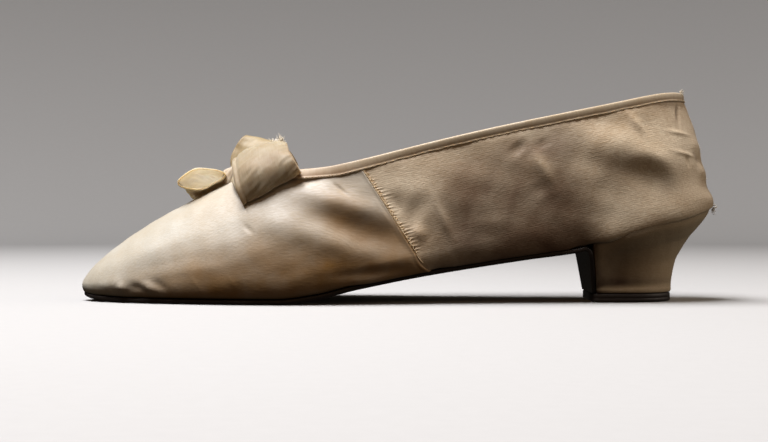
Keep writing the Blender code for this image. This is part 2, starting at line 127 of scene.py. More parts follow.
def woven_material(name, light, dark, soil_and_shade_colour, thread_mm, slub_mm, mottle_mm, bump_mm, roughness,
                   **shader_values):
    """Cloth with slubs along its grain, a fine rib of threads, mottled age, and soil with painted shade."""
    material, shader = new_material(name, **shader_values)
    grain = add_node(material, "Attribute", attribute_name="cloth").outputs["Vector"]
    soil_and_shade = add_node(material, "Attribute", attribute_name="soil_and_shade").outputs["Fac"]

    long_grain = add_node(material, "Mapping", {
        "Vector": grain, "Scale": (1.0 / slub_mm, 1.0 / thread_mm, 1.0 / thread_mm)})
    slubs = add_node(material, "TexNoise", {
        "Vector": long_grain.outputs["Vector"], "Scale": 1.0, "Detail": 3.0, "Roughness": 0.6})
    mottle = add_node(material, "TexNoise", {
        "Vector": grain, "Scale": 1.0 / mottle_mm, "Detail": 4.0, "Roughness": 0.55})
    threads = add_node(material, "TexWave", {
        "Vector": grain, "Scale": WAVE_SPACING / thread_mm, "Distortion": 1.2, "Detail": 1.0,
        "Detail Scale": 0.6}, wave_type="BANDS", bands_direction="Y")

    tone = add_node(material, "MapRange", {
        "Value": slubs.outputs["Fac"], "From Min": 0.3, "From Max": 0.7, "To Min": 0.0, "To Max": 0.45})
    aged = add_node(material, "MapRange", {
        "Value": mottle.outputs["Fac"], "From Min": 0.35, "From Max": 0.75, "To Min": 0.0, "To Max": 0.6})
    darker = add_node(material, "Math", {0: tone.outputs["Result"], 1: aged.outputs["Result"]},
                      operation="ADD", use_clamp=True)
    cloth = add_node(material, "Mix", {
        MIX_SHARE: darker.outputs[0], FIRST_COLOUR: cloth_colour(light),
        SECOND_COLOUR: cloth_colour(dark)}, data_type="RGBA")
    patchy = add_node(material, "MapRange", {
        "Value": mottle.outputs["Fac"], "From Min": 0.2, "From Max": 0.8, "To Min": 0.6, "To Max": 1.2})
    # The mottle breaks up the soil and painted shade, which mix the cloth towards the last colour.
    soil_and_shade_share = add_node(material, "Math", {0: soil_and_shade, 1: patchy.outputs["Result"]},
                      operation="MULTIPLY", use_clamp=True)
    worn_and_shaded = add_node(material, "Mix", {
        MIX_SHARE: soil_and_shade_share.outputs[0], FIRST_COLOUR: cloth.outputs[MIXED_COLOUR],
        SECOND_COLOUR: cloth_colour(soil_and_shade_colour)}, data_type="RGBA")

    gloss = add_node(material, "MapRange", {
        "Value": slubs.outputs["Fac"], "From Min": 0.3, "From Max": 0.7,
        "To Min": roughness - 0.06, "To Max": roughness + 0.08})
    relief = add_node(material, "Math", {0: threads.outputs["Fac"], 1: 0.12, 2: slubs.outputs["Fac"]},
                      operation="MULTIPLY_ADD")
    bump = add_node(material, "Bump", {
        "Height": relief.outputs[0], "Strength": 0.5, "Distance": bump_mm * MM})
    for source, socket in ((worn_and_shaded.outputs[MIXED_COLOUR], "Base Color"),
                           (gloss.outputs["Result"], "Roughness"), (bump.outputs["Normal"], "Normal")):
        material.node_tree.links.new(source, shader.inputs[socket])
    return material


print("threads 0.7 mm apart need a wave scale of", round(WAVE_SPACING / 0.7, 3))

# %% [markdown]
# ## The slipper's own materials
# Eight silks, a linen, a sewing thread and a leather all come from that one recipe. What differs is
# the colour, the spacing of the threads, the gloss and how much light the cloth lets through. They
# could share one material, but then the vamp would not outshine the worn quarters.

# %% Silks, linen, thread and leather
# Silk satin: long floats pressed flat, so light slides over it in broad soft streaks. Its threads
# are about 0.1 mm apart. They are drawn 0.7 mm apart, because finer ones vanish in the picture.
vamp_satin = woven_material(
    "ivory_silk_satin", "cdc8ba", "beb096", "9b6f31", thread_mm=0.7, slub_mm=2.6, mottle_mm=16.0,
    bump_mm=0.16, roughness=0.53, IOR=1.54, Specular_IOR_Level=0.75, Sheen_Weight=0.1, Sheen_Roughness=0.4)
# The quarters are satin worn duller, or its matt side, so they glow less and look browner.
quarter_satin = woven_material(
    "dull_silk_satin", "efdcbd", "c4a47c", "5c3a22", thread_mm=0.7, slub_mm=1.5, mottle_mm=18.0,
    bump_mm=0.26, roughness=0.58, IOR=1.54, Sheen_Weight=0.08, Sheen_Roughness=0.5)
# The heel is covered with the same cloth, glued down and rubbed by the floor. Its colours are set
# darker than the quarters' to paint the shade it stands in under the quarter.
heel_satin_in_painted_shade = woven_material(
    "painted_shade_heel_satin", "cdb795", "b89d79", "49321f", thread_mm=0.6, slub_mm=1.3, mottle_mm=16.0,
    bump_mm=0.14, roughness=0.58, IOR=1.54, Sheen_Weight=0.06, Sheen_Roughness=0.5)
# A narrow silk strip, folded over the rim: closer woven, with a faint cross rib.
binding_silk = woven_material(
    "folded_silk_binding", "e6d5b9", "d0b68f", "906a45", thread_mm=0.6, slub_mm=2.0, mottle_mm=9.0,
    bump_mm=0.06, roughness=0.5, IOR=1.54, Sheen_Weight=0.1, Sheen_Roughness=0.4)
# Ribbon satin is thin and soft, so some light comes through. The near loop is ivory. The far loop gets
# a darker, more golden copy of it, which paints the shade on that loop.
ribbon_satin = woven_material(
    "ivory_ribbon_satin", "baac91", "a4906e", "82603c", thread_mm=0.6, slub_mm=4.0, mottle_mm=8.0,
    bump_mm=0.12, roughness=0.58, IOR=1.54, Specular_IOR_Level=0.35, Sheen_Weight=0.2, Sheen_Roughness=0.4,
    Subsurface_Weight=0.6, Subsurface_Scale=0.003, Subsurface_Radius=(0.8, 0.7, 0.58))
ribbon_in_painted_shade = woven_material(
    "painted_shade_ribbon_satin", "ac9a74", "998157", "7a5a34", thread_mm=0.45, slub_mm=10.0, mottle_mm=8.0,
    bump_mm=0.05, roughness=0.55, IOR=1.54, Sheen_Weight=0.2, Sheen_Roughness=0.4)
# The toe loop is seen from its hollow side, with light coming through the thin silk. Its colours are a
# lighter, golden copy of the ribbon's, which paints that glow through the silk.
ribbon_painted_glow = woven_material(
    "painted_glow_ribbon_satin", "e6d0ae", "d8bb8c", "d09c54", thread_mm=0.45, slub_mm=10.0, mottle_mm=8.0,
    bump_mm=0.05, roughness=0.55, IOR=1.54, Sheen_Weight=0.2, Sheen_Roughness=0.4,
    Subsurface_Weight=0.9, Subsurface_Scale=0.005, Subsurface_Radius=(0.8, 0.72, 0.66))
# Frayed silk scatters light from many loose fibres, so it looks whiter than the ribbon it came from.
frayed_silk = woven_material(
    "frayed_ribbon_silk", "efe6d4", "dccfb6", "997f5a", thread_mm=0.4, slub_mm=3.0, mottle_mm=4.0,
    bump_mm=0.05, roughness=0.6, IOR=1.54, Sheen_Weight=0.4, Sheen_Roughness=0.5)
# Linen lining: a plain matt weave with uneven threads, drawn 0.7 mm apart.
lining_linen = woven_material(
    "plain_linen", "c6b99f", "ae9f84", "7f6a4e", thread_mm=0.7, slub_mm=3.0, mottle_mm=14.0,
    bump_mm=0.12, roughness=0.85, IOR=1.53, Sheen_Weight=0.1, Sheen_Roughness=0.6)
# Twisted sewing silk catches small bright points of light.
sewing_silk = woven_material(
    "sewing_silk", "ead2aa", "d8b888", "9a7748", thread_mm=0.3, slub_mm=0.6, mottle_mm=4.0,
    bump_mm=0.03, roughness=0.45, IOR=1.54)
# Sole leather: dark waxed leather, its fine grain polished by wear and greyed at the edges.
sole_leather = woven_material(
    "dark_waxed_leather", "2a1f19", "1a1310", "4a3c30", thread_mm=1.1, slub_mm=1.4, mottle_mm=6.0,
    bump_mm=0.12, roughness=0.52, IOR=1.5)
print(len(bpy.data.materials), "materials ready")

# %% [markdown]
# ## Meshes from rows of points
# A cloth surface is easiest as a grid: rows of points up the shoe, columns along it. One function
# skins such a grid, stores its grain and its soil with painted shade, and lets the piece ride on the
# shoe's only body.
# Blender could also do this with lofted curves, but then the folds would be hard to place.

# %% Skin a grid of points
def add_piece(name, points, faces, material, replaced, cloth=None, soil_and_shade=None):
    """Make one piece from points in millimetres, and say which CAD node it stands for."""
    points = np.asarray(points, float).reshape(-1, 3)
    mesh = bpy.data.meshes.new(name)
    mesh.from_pydata((points * MM).tolist(), [], faces)
    mesh.validate()
    mesh.shade_smooth()
    mesh.materials.append(material)
    cloth = points if cloth is None else np.asarray(cloth, float)
    soil_and_shade = np.zeros(len(points)) if soil_and_shade is None else np.clip(soil_and_shade, 0.0, 1.0)
    mesh.attributes.new("cloth", "FLOAT_VECTOR", "POINT").data.foreach_set("vector", cloth.ravel())
    mesh.attributes.new("soil_and_shade", "FLOAT", "POINT").data.foreach_set("value", soil_and_shade.ravel())
    piece = bpy.data.objects.new(name, mesh)
    scene.collection.objects.link(piece)
    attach(piece, "root")
    if replaced:
        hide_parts(replaced)
    print(name, "-", len(mesh.polygons), "faces")
    return piece


def grid_faces(rows, columns, round_columns=False, round_rows=False, turned=False):
    """Corner numbers of the four-sided faces of a grid, joined up at its ends or turned if asked."""
    row = np.arange(rows if round_rows else rows - 1)[:, None]
    column = np.arange(columns if round_columns else columns - 1)[None, :]
    above, beside = (row + 1) % rows, (column + 1) % columns
    corners = (row * columns + column, row * columns + beside,
               above * columns + beside, above * columns + column)
    faces = np.stack(np.broadcast_arrays(*corners), axis=-1).reshape(-1, 4)
    return (faces[:, ::-1] if turned else faces).tolist()


def tube_faces(rings, size, turned=False):
    """Faces of a tube of rings, with one flat face at each end."""
    ends = [list(range(size - 1, -1, -1)), list(range((rings - 1) * size, rings * size))]
    if turned:
        ends = [end[::-1] for end in ends]
    return grid_faces(rings, size, True, turned=turned) + ends


def cloth_grain(along, across):
    """Millimetres along and across the weave at each point of a grid."""
    return np.stack(np.broadcast_arrays(along, across, 0.0), axis=-1)


print("a grid of 4 by 5 points has", len(grid_faces(4, 5)), "faces")

# %% [markdown]
# ## Soft shapes
# Cloth has no sharp steps, so folds, fades and stains are built from a few soft curves: a ramp, a
# bell and a ripple. Blender's brushes have such curves too, but as functions they can be added and
# multiplied point by point.

# %% Soft shapes for every piece
def unit(vectors):
    """The same directions, each of length one."""
    return vectors / np.maximum(np.linalg.norm(vectors, axis=-1, keepdims=True), 1e-9)


def smooth_step(value, start, end):
    """A soft ramp from 0 at the start to 1 at the end."""
    share = np.clip((value - start) / (end - start), 0.0, 1.0)
    return share * share * (3.0 - 2.0 * share)


def bell(value, width, centre=0.0):
    """A soft bump: 1 at its centre, and nearly gone two widths away."""
    return np.exp(-((value - centre) / width) ** 2)


def ripple(run, length, phase=0.0):
    """A wave along a run of millimetres, one length from crest to crest."""
    return np.sin(run * 2.0 * math.pi / length + phase)


def path_run(path):
    """Distance along a path of points from its start."""
    return np.concatenate(([0.0], np.cumsum(np.linalg.norm(np.diff(path, axis=0), axis=1))))


print("a bell one width from its centre:", round(float(bell(1.0, 1.0)), 2))

# %% [markdown]
# ## The floor and the light
# A pale dish of paper stands in for the studio: flat under the shoe and curving up far away, so
# there is no horizon line from any side. One large soft box hangs above the toe, a little in front of
# the shoe. It makes the top of the vamp bright and leaves the side walls in half shade. A weak warm
# fill in front keeps that shade readable, and one behind the heel lights the back of the quarters.

# %% Floor
FLAT_RADIUS, RIM_RADIUS, RIM_HEIGHT = 950.0, 1900.0, 1300.0
FLOOR_TURNS, FLOOR_DROP = 96, 0.05
radii = np.concatenate(([1.0], np.linspace(200.0, FLAT_RADIUS, 8),
                        np.linspace(FLAT_RADIUS, RIM_RADIUS, 24)[1:]))
lifts = RIM_HEIGHT * (np.maximum(radii - FLAT_RADIUS, 0.0) / (RIM_RADIUS - FLAT_RADIUS)) ** 2.0
turns = np.linspace(0.0, 2.0 * math.pi, FLOOR_TURNS, endpoint=False)
dish = np.stack((radii[:, None] * np.cos(turns), radii[:, None] * np.sin(turns),
                 np.repeat(lifts[:, None], FLOOR_TURNS, axis=1) - FLOOR_DROP), axis=-1)

paper, paper_shader = new_material("pale_matt_paper", Roughness=0.9, IOR=1.5)
# The noise runs from 0 to 1 over the whole dish, so 900 gives a faint mottle about 4 mm wide.
paper_grain = add_node(paper, "TexNoise", {"Scale": 900.0, "Detail": 2.0})
paper_tone = add_node(paper, "Mix", {
    MIX_SHARE: paper_grain.outputs["Fac"], FIRST_COLOUR: cloth_colour("c1bfbc"),
    SECOND_COLOUR: cloth_colour("bdbbb8")}, data_type="RGBA")
paper.node_tree.links.new(paper_tone.outputs[MIXED_COLOUR], paper_shader.inputs["Base Color"])

floor_mesh = bpy.data.meshes.new("floor")
centre_fan = [tuple(range(FLOOR_TURNS))]
floor_mesh.from_pydata((dish.reshape(-1, 3) * MM).tolist(), [],
                       grid_faces(len(radii), FLOOR_TURNS, True) + centre_fan)
floor_mesh.shade_smooth()
floor_mesh.materials.append(paper)
floor = bpy.data.objects.new("floor", floor_mesh)
# The photograph's table is dark and throws little light up. The pale floor is kept out of soft
# bounces and gloss for the same reason, so that the undersides stay in shade.
floor.visible_diffuse = False
floor.visible_glossy = False
scene.collection.objects.link(floor)
print("floor", 2 * RIM_RADIUS * MM, "m across")

# %% Lights
def add_soft_box(name, place, aim, size, watts, colour):
    """An area light in metres, turned to face the point it lights."""
    light = bpy.data.lights.new(name, "AREA")
    light.shape = "RECTANGLE"
    light.size, light.size_y = size
    light.energy = watts
    light.color = cloth_colour(colour)[:3]
    lamp = bpy.data.objects.new(name, light)
    lamp.location = place
    away = np.array(place) - np.array(aim)
    flat = math.hypot(away[0], away[1])
    lamp.rotation_euler = (math.atan2(flat, away[2]), 0.0, math.atan2(away[0], -away[1]))
    scene.collection.objects.link(lamp)


add_soft_box("overhead_box", (-0.28, -0.12, 0.98), (-0.02, 0.0, 0.03), (0.85, 0.45), 21.0, "fbfbff")
add_soft_box("front_fill", (-0.30, -1.35, 0.55), (0.0, 0.0, 0.04), (0.9, 0.9), 1.35, "ffc488")
add_soft_box("back_fill", (1.15, -0.10, 0.60), (0.02, 0.0, 0.04), (0.9, 0.9), 4.6, "fff1e2")
scene.world = bpy.data.worlds.new("studio_air")
scene.world.use_nodes = True
air = scene.world.node_tree.nodes["Background"]
air.inputs["Color"].default_value = cloth_colour("f0e6da")
air.inputs["Strength"].default_value = 0.035
# The plain view transform shows the hex colours as they are, with the contrast of a studio print.
scene.view_settings.view_transform = "Standard"
print("three soft boxes and a dim room")

# %% [markdown]
# ## The last
# A shoe is drawn over a last, a wooden foot. Ribs stand along it: each starts at the edge on the
# sole, rounds the widest place of the side and leans in up to the top line. A smooth closed curve
# through the table gives a rib at any place, from row 0 at the toe to row 11 at the heel and back
# along the far side. It is the table of the solids, so the cloth lies where they are.

# %% Tables of the last
UPPER_WALL, VAMP_STEP, SEAT_GAP = 1.4, 0.35, 0.3
SOLE_THICKNESS = 1.8
BINDING_CLOTH = 0.5
SOLE_LINE = {
    "toe_tip": (-121.0, 1.6), "toe_spring": (-112.0, 0.5), "tread_front": (-98.0, 0.0),
    "tread_back": (-44.0, 0.0), "arch_foot": (-30.0, 1.6), "arch_rise": (-14.0, 5.4),
    "shank": (12.0, 10.4), "shank_back": (48.0, 16.0), "breast": (66.0, 18.5),
    "seat_front": (80.0, 22.8), "seat": (100.0, 28.6), "seat_back": (110.0, 31.2),
    "seat_rim": (120.0, 34.4),
}
RIB_COLUMNS = ("x_edge", "half_edge", "x_side", "half_side", "z_side",
               "x_top", "half_top", "z_top", "lean_x", "lean_y")
RIBS = {
    "toe_tip": (-118.4, 0.0, -119.3, 0.0, 6.2, -52.0, 0.0, 49.3, 1.44, 1.44),
    "toe_corner": (-111.4, 9.5, -112.1, 11.0, 6.4, -51.2, 4.8, 49.2, 1.48, 1.48),
    "toe_side": (-95.0, 18.0, -96.0, 20.4, 7.0, -48.7, 9.8, 49.0, 1.58, 1.66),
    "fore_ball": (-71.0, 26.0, -72.0, 29.2, 8.2, -44.0, 15.0, 48.8, 1.62, 1.92),
    "ball": (-44.5, 29.8, -46.0, 34.0, 10.0, -36.5, 19.4, 48.8, 1.50, 2.10),
    "back_ball": (-16.0, 27.6, -19.0, 32.7, 13.4, -26.5, 22.5, 49.9, 1.20, 2.20),
    "side_seam": (11.6, 23.4, 7.0, 29.0, 18.6, -14.6, 24.2, 52.5, 1.00, 2.20),
    "waist": (39.0, 20.8, 37.0, 25.4, 24.6, 15.0, 24.8, 60.0, 1.00, 2.00),
    "breast": (66.0, 20.8, 66.5, 24.3, 30.6, 47.0, 24.0, 67.2, 1.10, 1.80),
    "seat": (91.0, 20.8, 92.0, 23.2, 35.2, 79.0, 21.4, 73.8, 1.25, 1.60),
    "seat_back": (109.0, 15.0, 110.0, 16.2, 38.0, 99.5, 14.4, 78.0, 1.38, 1.48),
    "heel_back": (117.6, 0.0, 118.7, 0.0, 39.4, 109.3, 0.0, 78.8, 1.42, 1.42),
}
SEAM_ROW = list(RIBS).index("side_seam")
BACK_ROW = len(RIBS) - 1
ROUND_ROWS = 2 * BACK_ROW
print(len(RIBS), "ribs on each side")

# %% Smooth curves through the tables
def round_spline(rows, spans=None):
    """A smooth closed curve through rows of numbers, which gives values and their rates."""
    rows = np.asarray(rows, float)
    count = len(rows)
    spans = (np.ones(count) if spans is None else np.asarray(spans, float))[:, None]
    steps = (np.roll(rows, -1, axis=0) - rows) / spans ** 2
    after, before = np.diagflat(1.0 / spans), np.diagflat(1.0 / np.roll(spans, 1))
    ahead = np.roll(np.eye(count), 1, axis=1)
    matrix = 2.0 * (after + before) + after @ ahead + before @ ahead.T
    slopes = np.linalg.solve(matrix, 3.0 * (steps + np.roll(steps, 1, axis=0)))

    def curve(place):
        place = np.atleast_1d(place) % count
        start = np.floor(place).astype(int) % count
        end = (start + 1) % count
        f = (place - np.floor(place))[:, None]
        rise = rows[end] - rows[start]
        leave, arrive = slopes[start] * spans[start], slopes[end] * spans[start]
        value = (rows[start] + rise * f * f * (3 - 2 * f)
                 + leave * f * (1 - f) ** 2 + arrive * f * f * (f - 1))
        rate = rise * 6 * f * (1 - f) + leave * (1 - f) * (1 - 3 * f) + arrive * f * (3 * f - 2)
        return value, rate

    return curve


def gentle_curve(rows):
    """A height along x that passes through the rows and never overshoots them."""
    xs, zs = np.array(list(rows)).T
    runs, grades = np.diff(xs), np.diff(zs) / np.diff(xs)
    slopes = np.zeros(len(xs))
    slopes[0], slopes[-1] = grades[0], grades[-1]
    for k in range(1, len(xs) - 1):
        before, after = grades[k - 1], grades[k]
        if before * after > 0:
            slopes[k] = (runs[k - 1] + runs[k]) / (runs[k - 1] / before + runs[k] / after)

    def height(x):
        k = np.clip(np.searchsorted(xs, x) - 1, 0, len(runs) - 1)
        f = np.clip((x - xs[k]) / runs[k], 0.0, 1.0)
        return (zs[k] + (zs[k + 1] - zs[k]) * f * f * (3 - 2 * f)
                + runs[k] * (slopes[k] * f * (1 - f) ** 2 + slopes[k + 1] * f * f * (f - 1)))

    return height


half_columns = [k for k, name in enumerate(RIB_COLUMNS) if name.startswith("half")]
near_ribs = np.array(list(RIBS.values()))
near_ribs[:, half_columns] *= -1.0
far_ribs = near_ribs[BACK_ROW - 1:0:-1].copy()
far_ribs[:, half_columns] *= -1.0
rib_curve = round_spline(np.vstack((near_ribs, far_ribs)))
sole_line = gentle_curve(SOLE_LINE.values())
print("sole under the breast at", round(float(sole_line(66.0)), 1), "mm")

# %% Ribs at any place
NUDGE = 0.05


def edge_height(x):
    """Height of the upper's edge on the sole."""
    return sole_line(x) + SOLE_THICKNESS + SEAT_GAP


def rib_corners(places):
    """Edge, side and top points of the ribs with their rates along the shoe, and their leans."""
    value, rate = rib_curve(places)
    table = {name: (value[:, k], rate[:, k]) for k, name in enumerate(RIB_COLUMNS)}
    x_edge, x_rate = table["x_edge"]
    slope = (edge_height(x_edge + NUDGE) - edge_height(x_edge - NUDGE)) / (2.0 * NUDGE)
    table["z_edge"] = (edge_height(x_edge), slope * x_rate)
    corners = {}
    for name in ("edge", "side", "top"):
        parts = [table["x_" + name], table["half_" + name], table["z_" + name]]
        corners[name] = [np.stack([part[k] for part in parts], axis=1) for k in (0, 1)]
    lean = np.stack((table["lean_x"][0], table["lean_y"][0], np.ones_like(x_edge)), axis=1)
    return corners, lean


def edge_round(angle):
    """Shares of the way from the edge to the side, round a quarter of an ellipse."""
    return np.array((math.sin(angle), math.sin(angle), 1.0 - math.cos(angle)))


def rib_level(corners, lean, level):
    """Points, rates along and rates up. Levels 0 to 1 round the edge, and 1 to 2 climb to the top."""
    edge, side, top = corners["edge"], corners["side"], corners["top"]
    if np.ndim(level) == 0 and level < 1.0:
        angle = level * math.pi / 2.0
        weight = edge_round(angle)
        climb = np.array((math.cos(angle), math.cos(angle), math.sin(angle)))
        point, rate = (edge[k] + (side[k] - edge[k]) * weight for k in (0, 1))
        return point, rate, (side[0] - edge[0]) * climb
    share = np.reshape(np.asarray(level, float) - 1.0, (-1, 1))
    weight = share ** lean
    climb = lean * np.maximum(share, 1e-6) ** (lean - 1.0)
    point, rate = (side[k] + (top[k] - side[k]) * weight for k in (0, 1))
    return point, rate, (top[0] - side[0]) * climb


def rim_level(corners, lean):
    """The level of the cut edge, which lies under the fold of the binding."""
    top_climb = rib_level(corners, lean, 2.0)[2]
    return 2.0 - (SEAT_GAP + BINDING_CLOTH) / np.linalg.norm(top_climb, axis=1)


print("top line at the side seam", np.round(rib_corners([SEAM_ROW])[0]["top"][0][0], 1))

# %% [markdown]
# ## Cloth on the last
# A shoemaker pulls the cloth over the last from sole to top line. The grid does the same: it takes a
# rib at every column and climbs it in many small levels. The foot of each side seam sweeps back, so
# the ribs beside it are moved along there. Columns stand closer together at the seams.

# %% Grids on the last
# In rows: how far the foot of a side seam sweeps back, and how wide a stretch moves with it.
SEAM_SWEEP, SWEEP_WIDTH = 0.1, 0.35
# A power above 1 puts the levels a little closer together at the side than at the rim.
CLIMB_SPACING = 1.1
# How much closer the columns stand at a seam, and over how many rows.
CLOSER, CLOSE_WIDTH = 1.4, 0.16
FINE_STEPS = 4000


def seam_flare(places, level):
    """Rows by which the foot of each side seam sweeps back towards the heel."""
    row = (np.asarray(places) + BACK_ROW) % ROUND_ROWS - BACK_ROW
    beside = bell(np.abs(row), SWEEP_WIDTH, SEAM_ROW)
    return SEAM_SWEEP * np.sign(row) * beside * (1.0 - smooth_step(np.mean(level), 0.15, 1.1))


def last_surface(places, edge_steps, climb_steps):
    """A grid of points and outward normals on the last, from the sole edge up to the rim."""
    rim = rim_level(*rib_corners(places))
    levels = list(np.linspace(0.0, 1.0, edge_steps, endpoint=False))
    levels += [1.0 + (rim - 1.0) * share ** CLIMB_SPACING for share in np.linspace(0.0, 1.0, climb_steps)]
    points, normals = [], []
    for level in levels:
        corners, lean = rib_corners(places + seam_flare(places, level))
        point, rate, climb = rib_level(corners, lean, level)
        points.append(point)
        normals.append(unit(np.cross(rate, climb)))
    return np.array(points), np.array(normals)


def spaced_places(first, last, step_mm, close_rows=()):
    """Row numbers with even steps along the side of the last, closer together near some rows."""
    fine = np.linspace(first, last, FINE_STEPS)
    side = rib_corners(fine)[0]["side"][0]
    steps = np.linalg.norm(np.diff(side, axis=0), axis=1)
    middle = (fine[1:] + fine[:-1]) / 2.0
    for row in close_rows:
        steps = steps * (1.0 + CLOSER * bell(middle, CLOSE_WIDTH, row))
    run = np.concatenate(([0.0], np.cumsum(steps)))
    return np.interp(np.linspace(0.0, run[-1], int(run[-1] / step_mm) + 2), run, fine)


print("seam foot swept", round(float(seam_flare(SEAM_ROW, 0.0)), 2), "of a row")

# %% [markdown]
# ## Creases
# Old satin keeps the marks of the foot. The main ones are listed as soft troughs and ridges:
# a half width, a height in millimetres, where a minus sign is a trough, and a path in the side view.
# A sculptor would use a brush for this. A table is easier to adjust and to read. The far side gets a
# milder set, moved along, because no shoe creases the same on both sides.

# %% Tables of creases
VAMP_CREASES = {
    "instep_trough": (6.0, -1.6, ((-40.0, 40.4), (-24.2, 31.4), (-11.6, 25.0), (1.0, 21.4), (13.0, 19.0))),
    "instep_roll": (4.8, 1.25, ((-54.0, 33.0), (-41.2, 28.4), (-27.8, 24.3), (-15.0, 20.0), (-4.4, 18.1),
                                (12.0, 17.0))),
    "throat_pleat": (4.2, 1.8, ((-44.0, 43.0), (-29.0, 38.4), (-19.0, 35.8), (-8.0, 33.0), (5.0, 29.4))),
    "blister_line": (0.7, -0.35, ((-24.4, 44.8), (-16.7, 38.3))),
    "under_binding": (1.9, -0.8, ((-42.7, 42.3), (-35.5, 44.6), (-26.3, 46.0))),
    "shank_fold": (2.1, -0.8, ((-29.1, 9.9), (-10.2, 11.4), (8.4, 14.2))),
    "shank_roll": (1.9, 0.4, ((-27.0, 6.2), (-10.0, 8.0), (4.0, 10.8))),
    "ball_dimple": (5.0, -0.3, ((-52.8, 26.6), (-51.6, 25.4))),
    "ball_mark": (0.9, -0.3, ((-56.0, 29.4), (-51.4, 25.0))),
    "scratch_one": (0.7, 0.14, ((-74.8, 10.4), (-70.4, 4.2))),
    "scratch_two": (0.7, 0.1, ((-61.8, 12.0), (-56.2, 3.8))),
    "toe_streak_one": (2.4, 0.22, ((-106.0, 12.0), (-90.0, 19.0), (-70.0, 26.0))),
    "toe_streak_two": (2.0, -0.2, ((-104.0, 8.5), (-84.0, 15.0), (-62.0, 20.0))),
    "toe_streak_three": (1.8, 0.16, ((-94.0, 8.0), (-76.0, 12.5), (-56.0, 15.0))),
    "toe_cap": (3.2, 0.6, ((-113.0, 5.2), (-106.0, 6.2), (-97.0, 6.4))),
    "toe_pucker_one": (1.6, 0.9, ((-99.0, 3.7), (-102.9, 7.3))),
    "toe_pucker_two": (1.8, 0.9, ((-84.6, 3.5), (-95.3, 7.9))),
    "toe_pleat_one": (1.4, -0.4, ((-99.2, 6.7), (-90.2, 5.1))),
    "toe_pleat_two": (1.6, -0.4, ((-90.2, 8.7), (-82.6, 4.7))),
}
QUARTER_CREASES = {
    "seam_dimple": (3.4, -0.6, ((-1.2, 37.0), (0.4, 35.6))),
    "waist_hollow": (5.0, -0.9, ((1.7, 35.7), (11.1, 31.7))),
    "waist_puff": (2.8, 1.0, ((4.2, 28.1), (11.4, 23.4))),
    "upright_ridge": (1.5, 0.6, ((12.8, 39.5), (16.6, 30.6), (21.0, 20.8))),
    "upright_hollow": (3.4, -0.4, ((17.0, 37.2), (20.6, 29.9), (24.6, 22.4))),
    "waist_band": (3.0, 0.35, ((24.0, 28.5), (43.8, 30.5))),
    "ankle_hollow_front": (3.4, -0.8, ((42.0, 59.0), (46.0, 54.5))),
    "ankle_ridge": (2.2, 1.0, ((47.5, 58.5), (52.5, 50.0), (57.5, 41.0))),
    "ankle_hollow_top": (2.6, -0.5, ((51.3, 60.6), (54.5, 56.0))),
    "ankle_hollow_low": (3.2, -0.5, ((49.8, 45.3), (54.0, 38.3))),
    "ankle_slant": (5.0, -0.9, ((60.0, 60.5), (68.0, 54.5), (75.0, 45.0))),
    "heel_slope": (7.4, 2.5, ((62.0, 57.4), (72.0, 58.0), (86.0, 56.4), (100.0, 53.5), (112.0, 49.0))),
    "heel_ridge_top": (1.5, 0.8, ((83.6, 70.6), (88.0, 65.0), (91.0, 60.5))),
    "heel_ridge_back": (3.4, 1.0, ((82.0, 52.4), (87.0, 53.6), (91.5, 54.0), (95.0, 52.6), (98.2, 49.8),
                                  (101.0, 46.2), (104.5, 40.6))),
    "heel_hollow": (5.6, -0.9, ((64.0, 50.5), (78.0, 50.0), (90.0, 46.0), (102.0, 40.6), (110.0, 36.0))),
    "back_fold_top": (0.8, 0.45, ((97.8, 63.6), (109.8, 62.0))),
    "back_fold_low": (0.8, 0.45, ((99.6, 56.0), (111.9, 53.8))),
    "back_lump_top": (2.6, 0.6, ((112.0, 58.5), (113.5, 58.0))),
    "back_lump_low": (2.4, 0.6, ((115.0, 48.5), (117.0, 48.0))),
    "back_nip": (1.8, -0.5, ((113.5, 53.2), (115.5, 52.8))),
    "back_line_top": (0.7, -0.8, ((105.2, 75.4), (104.4, 64.3))),
    "back_line_low": (0.7, -0.7, ((105.7, 56.1), (108.3, 48.7))),
}
